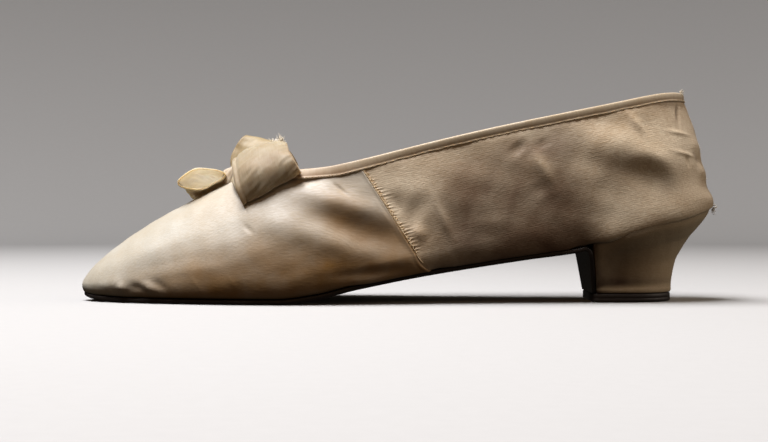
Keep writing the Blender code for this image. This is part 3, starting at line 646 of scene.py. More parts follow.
# Places darkened or lightened, drawn like the creases: half width, amount, path. Some are stains,
# some are painted shade in hollows and some are painted highlight on raised folds, as marked.
VAMP_STAINS_AND_SHADE = {
    # Painted shade along the instep trough and its upper wall.
    "trough_painted_shade": (8.5, 0.42, ((-44.0, 41.0), (-22.0, 32.5), (-8.0, 28.0), (20.0, 20.0))),
    "trough_lid_painted_shade": (4.0, 0.14, ((-42.0, 41.0), (-24.0, 34.6), (-8.0, 29.8), (10.0, 25.0))),
    # Painted warm shade low on the side at the ball.
    "ball_painted_shade": (9.0, 0.16, ((-62.0, 20.0), (-46.0, 23.0), (-30.0, 24.0))),
    # Darker and browner low over the shank.
    "shank_darker": (8.0, 0.2, ((-50.0, 18.0), (-20.0, 13.0), (14.0, 12.0))),
}
QUARTER_STAINS_AND_SHADE = {
    # Painted shade in the hollows round the ankle.
    "front_of_ankle": (5.5, 0.2, ((42.0, 57.6), (44.0, 56.4))),
    "ankle": (4.0, 0.22, ((50.0, 58.0), (51.5, 56.8))),
    "back_of_ankle": (6.0, 0.5, ((52.0, 66.0), (68.0, 51.5))),
    "low_ankle": (6.0, 0.14, ((55.0, 41.6), (56.6, 39.6))),
    # Darker patches at the waist and near the sole.
    "waist_high": (9.0, 0.15, ((30.0, 44.0), (36.0, 42.0))),
    "waist_low": (8.0, 0.14, ((40.0, 39.6), (45.0, 38.0))),
    "shank": (7.0, 0.12, ((23.0, 33.0), (28.0, 31.6))),
    "waist_foot": (6.0, 0.28, ((16.0, 21.0), (36.0, 25.0))),
    # Painted highlight: less soil on the ankle ridge and the waist puff, so they read lit.
    "ridge_painted_highlight": (2.6, -0.3, ((47.5, 58.5), (57.5, 41.0))),
    "puff_painted_highlight": (3.5, -0.2, ((7.0, 27.0), (11.4, 23.4))),
    # Painted shade in the hollow above the heel and in its fold.
    "heel_hollow": (7.0, 0.24, ((66.0, 50.0), (90.0, 46.0))),
    "heel_fold": (4.5, 0.25, ((95.0, 45.0), (102.0, 40.8))),
    "back_slit": (0.6, 0.5, ((105.2, 75.4), (104.4, 64.3))),
    "back_tear": (0.8, 0.4, ((110.5, 55.4), (112.4, 53.0))),
}
FAR_SHIFT, FAR_SHARE, FAR_STAIN_AND_SHADE_SHARE = 7.0, 0.65, 0.3
print(len(VAMP_CREASES) + len(QUARTER_CREASES), "creases and",
      len(VAMP_STAINS_AND_SHADE) + len(QUARTER_STAINS_AND_SHADE), "stains")

# %% [markdown]
# ## From a table to a fold
# Each point of the cloth looks for the nearest place on a crease's path and is raised or lowered by a
# bell of the distance. A displacement image would need a drawn picture. This needs only the table.

# %% Relief from the tables
# A fold keeps this share of its height at its ends. A mark shorter than this many millimetres
# doesn't fade.
END_SHARE, SHORT_MARK = 0.15, 5.0
WAVE_COUNT, ABOUT_A_TURN = 7, 6.28
# Near and far folds blend over this half width, and far ones lose this share at toe and heel.
MIDDLE_BLEND, FAR_END_LOSS = 8.0, 0.7
# Millimetres by which the cloth is drawn in at the back, and how far round that reaches.
PULL, EXTRA_PULL, PULL_REACH = 1.1, 0.7, 15.0


def soft_path(path):
    """Cut the corners of a path twice, so that a fold bends without a kink."""
    path = np.array(path)
    for _ in range(2):
        early = 0.75 * path[:-1] + 0.25 * path[1:]
        late = 0.25 * path[:-1] + 0.75 * path[1:]
        path = np.vstack((path[:1], np.stack((early, late), axis=1).reshape(-1, 2), path[-1:]))
    return path


def crease_relief(x, z, creases):
    """Height of the folds at points of the side view: soft on both sides, faded at the ends."""
    relief = np.zeros_like(x)
    for width, height, path in creases.values():
        path = soft_path(path)
        lengths = np.linalg.norm(np.diff(path, axis=0), axis=1)
        nearest = np.full(x.shape, np.inf)
        share = np.zeros_like(x)
        for k, length in enumerate(lengths):
            step = path[k + 1] - path[k]
            f = np.clip(((x - path[k, 0]) * step[0] + (z - path[k, 1]) * step[1]) / length ** 2, 0.0, 1.0)
            away = np.hypot(x - path[k, 0] - f * step[0], z - path[k, 1] - f * step[1])
            share = np.where(away < nearest, (lengths[:k].sum() + f * length) / lengths.sum(), share)
            nearest = np.minimum(nearest, away)
        fade = 1.0
        if lengths.sum() > SHORT_MARK:
            fade = END_SHARE + (1.0 - END_SHARE) * np.sin(np.clip(share, 0.0, 1.0) * math.pi) ** 2
        relief += height * fade * bell(nearest, width)
    return relief


def soft_waves(points, seed, length_mm, height_mm):
    """Slow unevenness of cloth over a padded wall: a few crossed waves of about one length."""
    draw = np.random.default_rng(seed)
    x, y, z = np.moveaxis(points, -1, 0)
    waves = np.zeros_like(x)
    for _ in range(WAVE_COUNT):
        aim = unit(draw.normal(size=3))
        turn = 2.0 * math.pi / (length_mm * draw.uniform(0.7, 1.5))
        waves += np.sin((aim[0] * x + aim[1] * y + aim[2] * z) * turn + draw.uniform(0.0, ABOUT_A_TURN))
    return waves * height_mm / WAVE_COUNT ** 0.5


def two_sided_relief(points, creases, far_share=FAR_SHARE):
    """Near side as in the tables, far side milder and moved along, blended over the middle."""
    x, y, z = np.moveaxis(points, -1, 0)
    near_share = smooth_step(-y, -MIDDLE_BLEND, MIDDLE_BLEND)
    near = crease_relief(x, z, creases)
    ends = smooth_step(x, 86.0, 102.0) + smooth_step(-x, 76.0, 90.0)
    far = crease_relief(x - FAR_SHIFT, z, creases) * far_share * (1.0 - FAR_END_LOSS * ends)
    return near * near_share + far * (1.0 - near_share)


def back_pull(z, from_back):
    """Behind the heel the cloth is drawn in, most of all at the top line and over the seat."""
    amount = PULL + EXTRA_PULL * (1.0 - smooth_step(z, 43.0, 51.0) + smooth_step(z, 58.0, 76.0))
    return amount * bell(from_back, PULL_REACH) * smooth_step(z, 37.0, 43.5)


trough = crease_relief(np.array([-11.6]), np.array([25.0]), VAMP_CREASES)
print("instep trough at its middle", round(float(trough[0]), 2), "mm")

# %% [markdown]
# ## Vamp and quarters
# The upper is two cloths joined by a slanted seam on each side: the vamp, which wraps the toe, and
# the quarters, which wrap the heel. Each is a fine grid on the last, pushed in and out by its
# creases. The vamp's edge is turned under and laid over the quarter, so it stands proud and rounds
# off at the seam. A shrinkwrapped plane would also lie on the last, but its grid would not follow the
# seam.

# %% Measures of the cloth
CLOTH_STEP, EDGE_STEPS, VAMP_CLIMB, QUARTER_CLIMB = 0.68, 24, 116, 150
# The share of a row by which the quarter runs on under the vamp.
UNDERLAP = 0.07
# Folds fade out between these distances below the rim.
RIM_FADE = (0.5, 5.0)
ROWS_MEASURED = 7.0
SOLE_OVERHANG = 1.4


def run_from_row(places, row):
    """Distance in millimetres along the side of the last from a row."""
    fine = np.linspace(row - ROWS_MEASURED, row + ROWS_MEASURED, FINE_STEPS + 1)
    run = path_run(rib_corners(fine)[0]["side"][0])
    return np.interp(places, fine, run) - run[FINE_STEPS // 2]


def hang_over_sole(points):
    """Along the waist the sole is cut narrow and the satin bellies down over its edge."""
    level = np.concatenate((np.linspace(0.0, 1.0, EDGE_STEPS, endpoint=False),
                            np.linspace(1.0, 2.0, len(points) - EDGE_STEPS)))[:, None]
    x = points[0, :, 0]
    waist = smooth_step(x, -26.0, -4.0) * (1.0 - smooth_step(x, 62.0, 69.0))
    belly = smooth_step(level, 0.16, 0.32) * (1.0 - smooth_step(level, 0.36, 1.5))
    points[..., 2] -= SOLE_OVERHANG * belly * waist


def square_seat(points):
    """Over the heel the satin stands straight down to a sharp edge instead of rounding under."""
    edge, side = points[0].copy(), points[EDGE_STEPS].copy()
    over_heel = smooth_step(side[:, 0], 66.0, 80.0)
    angle = np.linspace(0.0, math.pi / 2.0, EDGE_STEPS, endpoint=False)[:, None]
    square = np.sin(angle) ** (1.0 - 0.65 * over_heel)
    points[:EDGE_STEPS, :, :2] = edge[:, :2] + (side - edge)[:, :2] * square[..., None]
    return over_heel


def climb_run(points):
    """Distance up each rib from the sole edge."""
    steps = np.linalg.norm(np.diff(points, axis=0), axis=2)
    return np.vstack((np.zeros(points.shape[1]), np.cumsum(steps, axis=0)))


print("seam to back seam", round(float(run_from_row(BACK_ROW, SEAM_ROW))), "mm along the side")

# %% Vamp on the last
places = spaced_places(-SEAM_ROW, SEAM_ROW, CLOTH_STEP, close_rows=(-SEAM_ROW, SEAM_ROW))
points, normals = last_surface(places, EDGE_STEPS, VAMP_CLIMB)
hang_over_sole(points)
up = climb_run(points)
below_rim = up[-1] - up
to_seam = np.minimum(-run_from_row(places, SEAM_ROW), run_from_row(places, -SEAM_ROW))
x, y, z = np.moveaxis(points, -1, 0)
print("vamp grid", up.shape)

# %% Vamp creases and turned edge
relief = two_sided_relief(points, VAMP_CREASES)
relief += soft_waves(points, 3, 26.0, 0.22) + soft_waves(points, 4, 9.0, 0.07)
# Lasting pleats: where the cloth is drawn in round the toe, it ripples along the sole.
toe_turn = np.arctan2(y, -(x + 80.0)) * 30.0
pleats = ripple(toe_turn, 5.2) + 0.6 * ripple(toe_turn, 3.1, 1.0)
relief += 0.14 * pleats * bell(up, 7.0) * smooth_step(-x, 70.0, 95.0)
relief *= smooth_step(up, 0.0, 5.0) * smooth_step(below_rim, *RIM_FADE) * smooth_step(to_seam, 0.8, 3.4)
# The turned edge is a rounded step with a slight roll, tucked down on the seam itself.
turned_edge = np.sqrt(1.0 - (1.0 - np.clip(to_seam / 1.1, 0.0, 1.0)) ** 2)
lift = VAMP_STEP * turned_edge * smooth_step(up, 0.0, 3.0)
lift += 0.16 * bell(to_seam, 0.55, 0.9) - 0.25 * (to_seam < 0.05)
vamp_points = points + normals * (relief + lift)[..., None]
print("vamp relief from", round(relief.min(), 2), "to", round(relief.max(), 2), "mm")

# %% Vamp soil
# Darker low along the sole by the toe, floor dirt with painted shade; painted shade in the hollows;
# a dark seam line; painted shade with some yellowing low on the side behind the toe; a golden tint
# towards the waist; then the marks of the table.
soil_and_shade = (0.4 * bell(up, 3.0) + 0.34 * bell(up, 13.0)) * smooth_step(x, -120.0, -88.0)
# Painted shade in the hollows of the folds.
soil_and_shade += 0.12 * np.clip(-relief, 0.0, 1.2)
soil_and_shade += 0.35 * bell(to_seam, 0.5, 0.2)
# Painted shade, with some yellowing, low on the side behind the toe.
soil_and_shade += 0.5 * smooth_step(x, -110.0, -62.0) * smooth_step(-z, -29.0, -9.0)
soil_and_shade += 0.24 * smooth_step(x, -98.0, -44.0) + two_sided_relief(points, VAMP_STAINS_AND_SHADE, FAR_STAIN_AND_SHADE_SHARE)
add_piece("vamp", vamp_points, grid_faces(*up.shape), vamp_satin, "upper", soil_and_shade=soil_and_shade)

# %% [markdown]
# ## Quarters
# The quarters wrap the heel and meet in a seam at the back. They are softer than the vamp, so they
# belly out, sag over the sole at the waist and crease at the ankle. Where the side seam is overcast
# they are drawn into small gathers. The sheet runs on a little under the vamp's edge, as a real one
# does. All the folds are added up in one relief before the points are moved.

# %% Quarters on the last
places = spaced_places(SEAM_ROW - UNDERLAP, ROUND_ROWS - SEAM_ROW + UNDERLAP, CLOTH_STEP,
                       close_rows=(SEAM_ROW, BACK_ROW, ROUND_ROWS - SEAM_ROW))
points, normals = last_surface(places, EDGE_STEPS, QUARTER_CLIMB)
hang_over_sole(points)
over_heel = square_seat(points)
up = climb_run(points)
below_rim = up[-1] - up
past_seam = np.minimum(run_from_row(places, SEAM_ROW), -run_from_row(places, ROUND_ROWS - SEAM_ROW))
from_back = np.abs(run_from_row(places, BACK_ROW))
x, y, z = np.moveaxis(points, -1, 0)
print("quarter grid", up.shape)

# %% Quarter creases, gathers and back seam
relief = (two_sided_relief(points, QUARTER_CREASES) + soft_waves(points, 8, 24.0, 0.22)
          + soft_waves(points, 9, 8.0, 0.08))
relief *= smooth_step(past_seam, 0.0, 5.0)
# The soft wall bellies out between sole and collar, like a barrel.
barrel = np.sin(math.pi * (up / up[-1]) ** 1.15) ** 1.3
relief += 2.0 * barrel * smooth_step(past_seam, 1.0, 18.0) * (1.0 - smooth_step(x, 66.0, 94.0))
# Gathers: the overcast seam draws the quarter into small puckers of uneven length.
gather = ripple(up, 1.35, 0.8 * np.sin(up * 0.9)) * (0.7 + 0.3 * np.sin(up * 1.7 + 1.0))
reach = 2.4 + 1.6 * np.sin(up * 0.61) * np.sin(up * 0.23 + 2.0)
relief += 0.2 * gather * bell(np.maximum(past_seam, 0.0), reach) * smooth_step(up, 9.0, 16.0)
# Back seam: a narrow groove between two pressed edges.
relief += 0.22 * bell(from_back, 0.8, 1.1) - 0.35 * bell(from_back, 0.5)
# Over the heel it spreads again, down to the line where the heel's cover begins.
relief += 1.5 * over_heel * bell(z, 9.0, z[0])
relief *= smooth_step(up, 0.0, 4.0 - 2.8 * over_heel) * smooth_step(below_rim, *RIM_FADE)
quarter_points = points + normals * (relief - back_pull(z, from_back))[..., None]
print("quarter relief from", round(relief.min(), 2), "to", round(relief.max(), 2), "mm")

# %% Quarter soil
# Floor dirt with painted shade at the foot, then painted shade in the hollows, a dark back seam,
# painted shade low on the side, a slightly darker front, painted shade on the wall below a lit band
# under the rim, and the marks of the table.
soil_and_shade = (0.2 * bell(up, 4.0) + 0.08 * bell(up, 15.0)) * (1.0 - over_heel)
soil_and_shade *= 0.3 + 0.7 * smooth_step(x, 6.0, 24.0)
# Painted shade in the hollows of the folds.
soil_and_shade += 0.2 * np.clip(-relief, 0.0, 1.0)
soil_and_shade += 0.3 * bell(from_back, 0.5)
low_side_painted_shade = smooth_step(-z, -54.0, -36.0) * smooth_step(x, -4.0, 22.0)
soil_and_shade += 0.23 * low_side_painted_shade * (1.0 - 0.8 * smooth_step(x, 60.0, 95.0))
soil_and_shade += 0.1 * (1.0 - smooth_step(x, 62.0, 80.0))
# Painted shade on the wall below a band under the rim, which is left lit.
soil_and_shade += 0.34 * smooth_step(x, 6.0, 26.0) * smooth_step(below_rim, 3.0, 12.0) * (1.0 - over_heel)
soil_and_shade += two_sided_relief(points, QUARTER_STAINS_AND_SHADE, FAR_STAIN_AND_SHADE_SHARE)
# The quarter is cut with its grain along the sloping top line.
level_share, tilt_share = math.cos(math.radians(14.0)), math.sin(math.radians(14.0))
grain = np.stack((x * level_share + z * tilt_share, z * level_share - x * tilt_share, y), axis=-1)
add_piece("quarters", quarter_points, grid_faces(*up.shape), quarter_satin, "upper",
          grain, soil_and_shade)

# %% [markdown]
# ## Lining
# Inside, the shoe is lined with plain linen. It shows through the collar from above, so it gets its
# own surface, one wall thickness inside the satin, and turns in over the insole at the bottom. The
# order of its corners is turned round, so that its faces look into the shoe.

# %% Lining
LINING_STEP, LINING_EDGE_STEPS, LINING_CLIMB, LINING_SLACK = 1.1, 8, 60, 0.25
places = spaced_places(0.0, ROUND_ROWS, LINING_STEP)[:-1]
points, normals = last_surface(places, LINING_EDGE_STEPS, LINING_CLIMB)
up = climb_run(points)
x, y, z = np.moveaxis(points, -1, 0)
fold = two_sided_relief(points, {**VAMP_CREASES, **QUARTER_CREASES})
fold *= smooth_step(up, 0.0, 5.0) * smooth_step(up[-1] - up, *RIM_FADE)
depth = UPPER_WALL + LINING_SLACK - fold + soft_waves(points, 12, 14.0, 0.14)
depth += back_pull(z, np.abs(run_from_row(places, BACK_ROW)))
lined = points - normals * depth[..., None]
# Below the side it rounds in over the insole.
inner_edge = points[0] + (0.0, 0.0, UPPER_WALL)
inner_side = points[LINING_EDGE_STEPS] - UPPER_WALL * normals[LINING_EDGE_STEPS]
for k in range(LINING_EDGE_STEPS):
    lined[k] = inner_edge + (inner_side - inner_edge) * edge_round(k / LINING_EDGE_STEPS * math.pi / 2.0)
soil_and_shade = 0.7 * bell(up, 8.0) + 0.25 * smooth_step(x, 60.0, 110.0)
add_piece("lining", lined, grid_faces(*up.shape, True, turned=True), lining_linen, "upper",
          soil_and_shade=soil_and_shade)

# %% [markdown]
# ## Binding
# A narrow strip of silk is folded over the rim, like bias tape on a hem. Its cross section is a
# rounded hook with one leg outside and one inside, swept along the top line. It swells and narrows a
# little, as sewn strips do. A bevelled curve could sweep it too, but it would twist at the throat.

# %% Rim of the upper
BINDING_STEP = 0.9
places = spaced_places(0.0, ROUND_ROWS, BINDING_STEP)[:-1]
corners, lean = rib_corners(places)
rim_points, rate, climb = rib_level(corners, lean, rim_level(corners, lean))
rim_normals = unit(np.cross(rate, climb))
rim_pull = back_pull(rim_points[:, 2], np.abs(run_from_row(places, BACK_ROW)))
rim_points = rim_points - rim_normals * rim_pull[:, None]
rim_up = np.cross(rim_normals, unit(rate))
rim_up *= np.sign(np.sum(rim_up * climb, axis=1))[:, None]
rim_run = path_run(rim_points)
from_toe = np.minimum(places, ROUND_ROWS - places)
rim_proud = VAMP_STEP * (1.0 - smooth_step(from_toe, SEAM_ROW - 0.1, SEAM_ROW + 0.4))
print("rim", round(float(rim_run[-1])), "mm round")

# %% Folded strip
# Corners of the hook: height above the rim, and how far out from it.
BINDING_HOOK = (
    (-2.95, 0.08), (-3.02, 0.24), (-2.90, 0.42), (-2.55, 0.50), (-2.25, 0.38), (-2.0, 0.50), (-1.5, 0.64),
    (-0.8, 0.76), (-0.3, 0.80), (0.10, 0.76), (0.34, 0.62), (0.46, 0.20), (0.50, -0.45), (0.46, -1.05),
    (0.34, -1.62), (0.1, -2.0), (-0.5, -2.14), (-1.2, -2.06), (-1.9, -1.98), (-2.0, -1.72), (-1.0, -1.66),
    (0.15, -1.30), (0.15, 0.05), (-1.0, 0.20),
)
HOOK_STEP = 0.45
draw = np.random.default_rng(21)
wander = np.zeros(len(places))
for k in range(2, 14):
    swing = draw.uniform(0.4, 1.0)
    turns = 2.0 * math.pi * np.round(k * 3.3) * rim_run / rim_run[-1]
    wander += swing * np.sin(turns + draw.uniform(0.0, ABOUT_A_TURN))
wander = 0.7 * wander / 4.0
deep = 1.0 + 0.05 * wander + 0.3 * (1.0 - smooth_step(from_toe, SEAM_ROW - 0.6, SEAM_ROW + 1.2))
rings = []
for high, wide in BINDING_HOOK:
    deeper = deep if high < -0.9 and wide > 0.0 else np.ones(len(places))
    outside = rim_proud if wide > 0.0 else 0.0
    fuller = 0.07 * wander * (wide > 0.3)
    rings.append(rim_points + (high * deeper)[:, None] * rim_up
                 + (wide + outside + fuller)[:, None] * rim_normals)
# The outer leg is darker above its stitches, and the whole strip is darker at the throat: painted shade in
# both.
soil_and_shade = np.array([0.35 if -2.4 < high < -1.2 else 0.05 for high, _ in BINDING_HOOK])[:, None]
soil_and_shade = soil_and_shade + 0.4 * (1.0 - smooth_step(from_toe, SEAM_ROW - 0.6, SEAM_ROW + 0.4))
grain = cloth_grain(np.arange(len(rings))[:, None] * HOOK_STEP, rim_run[None, :])
add_piece("binding", rings, grid_faces(len(rings), len(places), True, True, turned=True), binding_silk,
          "topline_binding", grain, soil_and_shade)

# %% [markdown]
# ## Thread
# Stitches, loose ends and frayed edges are all thin bent tubes. One function makes many of them as a
# single mesh, which is far quicker than hundreds of curve objects. Real sewing silk is about 0.2 mm
# thick. It is drawn slightly thicker here, so that it still shows.

# %% Many threads as one mesh
def add_threads(name, paths, radius, material, sides=5, tapered=False):
    """Tubes along paths of points in millimetres, thin at both ends or tapered to the tip."""
    points, faces, first = [], [], 0
    turns = np.arange(sides) * 2.0 * math.pi / sides
    for path in paths:
        path = np.asarray(path, float)
        along = unit(np.gradient(path, axis=0))
        helper = np.where(np.abs(along[:, [2]]) > 0.85, (1.0, 0.0, 0.0), (0.0, 0.0, 1.0))
        side = unit(np.cross(along, helper))
        rise = np.cross(side, along)
        ends = np.linspace(0.0, 1.0, len(path))
        thick = np.clip(0.35 + 6.0 * np.minimum(ends, 1.0 - ends), 0.0, 1.0)
        if tapered:
            thick = np.linspace(1.0, 0.25, len(path))
        circle = np.cos(turns)[:, None] * side[:, None] + np.sin(turns)[:, None] * rise[:, None]
        points.append((path[:, None] + (radius * thick)[:, None, None] * circle).reshape(-1, 3))
        faces += [[first + corner for corner in face] for face in tube_faces(len(path), sides)]
        first += len(path) * sides
    return add_piece(name, np.vstack(points), faces, material, None)


def on_upper(place, level, out):
    """A point on the outside of the upper, some millimetres off the last."""
    corners, lean = rib_corners(place + seam_flare([place], level))
    point, rate, climb = rib_level(corners, lean, level if level < 1.0 else np.array([level]))
    return (point + out * unit(np.cross(rate, climb)))[0]


print("middle of the near seam", np.round(on_upper(SEAM_ROW, 1.5, 0.0), 1))

# %% [markdown]
# ## Stitches
# Short slanting stitches hold the vamp's turned edge to the quarter, and a row of small stitches runs
# near the lower edge of the binding. Each is placed on the last or on the rim itself, so it follows
# the cloth. A little chance in length and place keeps the rows from looking printed.

# %% Overcast side seams
# A stitch runs from the vamp's edge out over the quarter: share of its length, and lift off the last.
STITCH_LIE = ((-0.25, 0.52), (0.0, 0.45), (0.3, 0.28), (0.7, 0.2), (1.0, 0.02))
CORD_TUCK, CORD_LIFT = 0.004, 0.34
draw = np.random.default_rng(31)
seam_stitches, seam_edge = [], []
for seam, into_quarter in ((SEAM_ROW, 1.0), (ROUND_ROWS - SEAM_ROW, -1.0)):
    for level in np.linspace(1.06, 1.93, 36):
        level += draw.uniform(-0.006, 0.006)
        length = into_quarter * draw.uniform(0.026, 0.058)
        slip = draw.uniform(-0.008, 0.012)
        seam_stitches.append([on_upper(seam + share * length, level + slip * share, out)
                              for share, out in STITCH_LIE])
    seam_edge.append([on_upper(seam - into_quarter * CORD_TUCK, level, CORD_LIFT)
                      for level in np.linspace(0.5, 1.985, 90)])
add_threads("seam_stitches", seam_stitches, 0.13, sewing_silk)
add_threads("vamp_edge_cord", seam_edge, 0.2, sewing_silk)

# %% Stitches along the binding
STITCH_DEPTH, STITCH_OUT = 2.62, 0.50
STITCH_ARCH = np.array((0.02, 0.12, 0.02))
draw = np.random.default_rng(35)
binding_stitches = []
for first in range(0, len(places) - 4, 3):
    inset = draw.uniform(-0.06, 0.06)
    steps = np.arange(first, first + 3)
    binding_stitches.append(rim_points[steps] + (inset - STITCH_DEPTH * deep[steps])[:, None] * rim_up[steps]
                            + (STITCH_OUT + rim_proud[steps] + STITCH_ARCH)[:, None] * rim_normals[steps])
add_threads("binding_stitches", binding_stitches, 0.12, sewing_silk)

# %% [markdown]
# ## Sole, heel and insole
# The outsole is one strip of dark leather, skived thin. Behind the shank it bends down over the
# front of the heel and becomes its breast cover. The heel block is covered with satin, whose lower
# edge is turned under above a leather top piece. They are swept from the same outlines as the
# solids, in finer steps and with rounded edges.

# %% Outlines under the shoe
SOLE_MARGIN, FLAP_THICKNESS, FLAP_BEND = 1.4, 1.5, 1.5
BREAST_TOP_X, BREAST_FLOOR_X = 70.2, 72.8
HEEL_MARGIN, HEEL_BACK_MARGIN = 0.9, 2.0
HEEL_BASE_LENGTH, HEEL_BASE_SHARE, TOP_PIECE = 29.6, 0.70, 3.2


def edge_outline(places, grow):
    """Plan of the edge of the upper on the near side, grown outward by a distance."""
    edge, rate = rib_corners(places)[0]["edge"]
    normal = unit(np.stack((rate[:, 1], -rate[:, 0]), axis=1))
    return edge[:, :2] + np.reshape(grow, (-1, 1)) * normal


def place_at(x):
    """The row on the near side whose edge is at x."""
    fine = np.linspace(0.0, BACK_ROW, 1200)
    return float(np.interp(x, rib_curve(fine)[0][:, 0], fine))


def breast_x(z):
    """Where the slanting front of the heel is at a height."""
    return BREAST_FLOOR_X + (BREAST_TOP_X - BREAST_FLOOR_X) * z / float(sole_line(BREAST_TOP_X))


def heel_outlines(count):
    """Near-side outlines of the heel's base and seat, from breast to back, and the seat's height."""
    front = BREAST_TOP_X + FLAP_THICKNESS + SEAT_GAP
    places = np.linspace(place_at(front), BACK_ROW, count)
    share = (places - places[0]) / (BACK_ROW - places[0])
    seat = edge_outline(places, HEEL_MARGIN + (HEEL_BACK_MARGIN - HEEL_MARGIN) * share ** 2)
    seat[0, 0] = front
    base_front = breast_x(TOP_PIECE) + FLAP_THICKNESS + SEAT_GAP
    length = HEEL_BASE_LENGTH / (seat[-1, 0] - front)
    base = np.stack((base_front + (seat[:, 0] - front) * length, seat[:, 1] * HEEL_BASE_SHARE), axis=1)
    return base, seat, edge_height(seat[:, 0]) - SEAT_GAP


def both_sides(near):
    """Carry a near-side outline from breast to back on round the far side."""
    return np.vstack((near, near[-2::-1] * ((1.0, -1.0) + (1.0,) * (near.shape[1] - 2))))


print("heel base from x", round(breast_x(TOP_PIECE), 1), "mm")

# %% [markdown]
# ## Covered heel
# The heel is a wooden block that narrows under the seat, with satin glued round it. Rings between the
# outline of its base and that of its seat give the curve of its back. A loft of two curves could do
# that too, but the rings also spread to meet the satin wall above them.

# %% Shape of the covered heel
HEEL_POINTS, HEEL_LEVELS = 70, 64
# Share of the height, and share of the way from the base outline to the seat outline.
FLARE = ((0.0, 0.0), (0.15, 0.03), (0.36, 0.13), (0.5, 0.28), (0.64, 0.47), (0.75, 0.68), (0.9, 0.92),
         (1.0, 1.0))
base, seat, seat_z = heel_outlines(HEEL_POINTS)
flare_curve = gentle_curve(FLARE)
from_front = smooth_step(np.linspace(0.0, HEEL_POINTS / 4.0, HEEL_POINTS), 0.0, 3.0)
# Under the quarter the cover spreads as far as the satin wall, so that the two meet in one line.
heel_places = np.linspace(place_at(seat[0, 0]), BACK_ROW, HEEL_POINTS)
heel_corners = rib_corners(heel_places)[0]
overhang = np.linalg.norm((heel_corners["side"][0] - heel_corners["edge"][0])[:, :2], axis=1)
spread = edge_outline(heel_places, overhang + 0.4) - seat
over_seat = smooth_step(seat[:, 0], 71.0, 88.0)
heel_foot = TOP_PIECE + SEAT_GAP
heel_rings = []
for level in np.linspace(0.0, 1.0, HEEL_LEVELS):
    share = level + (float(flare_curve(level)) - level) * from_front
    plan = base + (seat - base) * share[:, None]
    plan = plan + spread * (over_seat * smooth_step(level, 0.45, 1.0))[:, None]
    heel_rings.append(both_sides(np.column_stack((plan, heel_foot + (seat_z - heel_foot) * level))))
heel_rings = np.array(heel_rings)
print("heel", round(float(seat_z[-1] - heel_foot), 1), "mm high at the back")

# %% Cloth of the covered heel
heel_normals = unit(np.cross(np.gradient(heel_rings, axis=1), np.gradient(heel_rings, axis=0)))
x, y, z = np.moveaxis(heel_rings, -1, 0)
above_piece = z - TOP_PIECE
rise = np.linspace(0.0, 1.0, HEEL_LEVELS)[:, None] * np.ones(x.shape[1])
relief = soft_waves(heel_rings, 41, 12.0, 0.10) + soft_waves(heel_rings * (1.0, 1.0, 0.3), 42, 5.0, 0.03)
relief += 0.25 * bell(above_piece, 0.7, 1.3)
relief *= smooth_step(rise, -0.01, 0.02) * (1.0 - smooth_step(rise, 0.85, 0.98))
heel_points = heel_rings + heel_normals * relief[..., None]
# Painted shade low at the front, under the quarter and on the front edge, lighter towards the back;
# a darker line above the turned edge. The edge is rubbed pale.
soil_and_shade = 0.5 * bell(x, 9.0, 78.0) * smooth_step(-z, -26.0, -8.0)
soil_and_shade += 0.3 * bell(z, 1.6, 7.5) + 0.35 * bell(rise, 0.06, 1.0)
soil_and_shade += 0.3 * smooth_step(-x, -104.0, -84.0) + 0.7 * bell(x, 1.6, x[:, [0]])
soil_and_shade -= 0.7 * bell(above_piece, 1.4, 1.6)
# The last face of the tube is its upper end, which stays open under the seat.
add_piece("heel_cover", heel_points, tube_faces(*x.shape)[:-1], heel_satin_in_painted_shade, "heel",
          np.stack((x, z, y), axis=-1), soil_and_shade)

# %% [markdown]
# ## Top piece
# The heel stands on a small stack of leather. Its outline is that of the heel's base, and rings with a
# small inset give the worn lower edge and the fine line between two layers. A bevel would round every
# edge the same.

# %% Top piece
# Height and inset of each ring: a worn lower edge, the line between two lifts, and a rounded top.
TOP_PIECE_RINGS = ((0.0, 0.55), (0.18, 0.2), (0.5, 0.0), (1.4, -0.06), (1.5, 0.05), (1.6, -0.04), (2.8, 0.0),
                   (3.1, 0.2), (3.2, 0.4))
piece_plan = both_sides(base)
piece_plan[[0, -1], 0] = BREAST_FLOOR_X
outward = unit(piece_plan - piece_plan.mean(axis=0))
stack = np.array([np.column_stack((piece_plan - inset * outward, np.full(len(piece_plan), lift)))
                  for lift, inset in TOP_PIECE_RINGS])
soil_and_shade = np.repeat([0.9 if lift < 0.4 else 0.15 for lift, _ in TOP_PIECE_RINGS], len(piece_plan))
add_piece("heel_top_piece", stack, tube_faces(*stack.shape[:2]), sole_leather, "top_piece",
          soil_and_shade=soil_and_shade)

# %% [markdown]
# ## Outsole
# The leather is thin, and thinnest at the toe. It is drawn as stations from the toe to the foot of the
# heel: along the sole line, round the bend, then down the front of the heel. At each one the same edge
# profile is set to the width there, which a plain extrusion could not do.

# %% Line of the outsole
TOE_STATIONS, TREAD_STATIONS, FLAP_STATIONS = 18, 150, 14


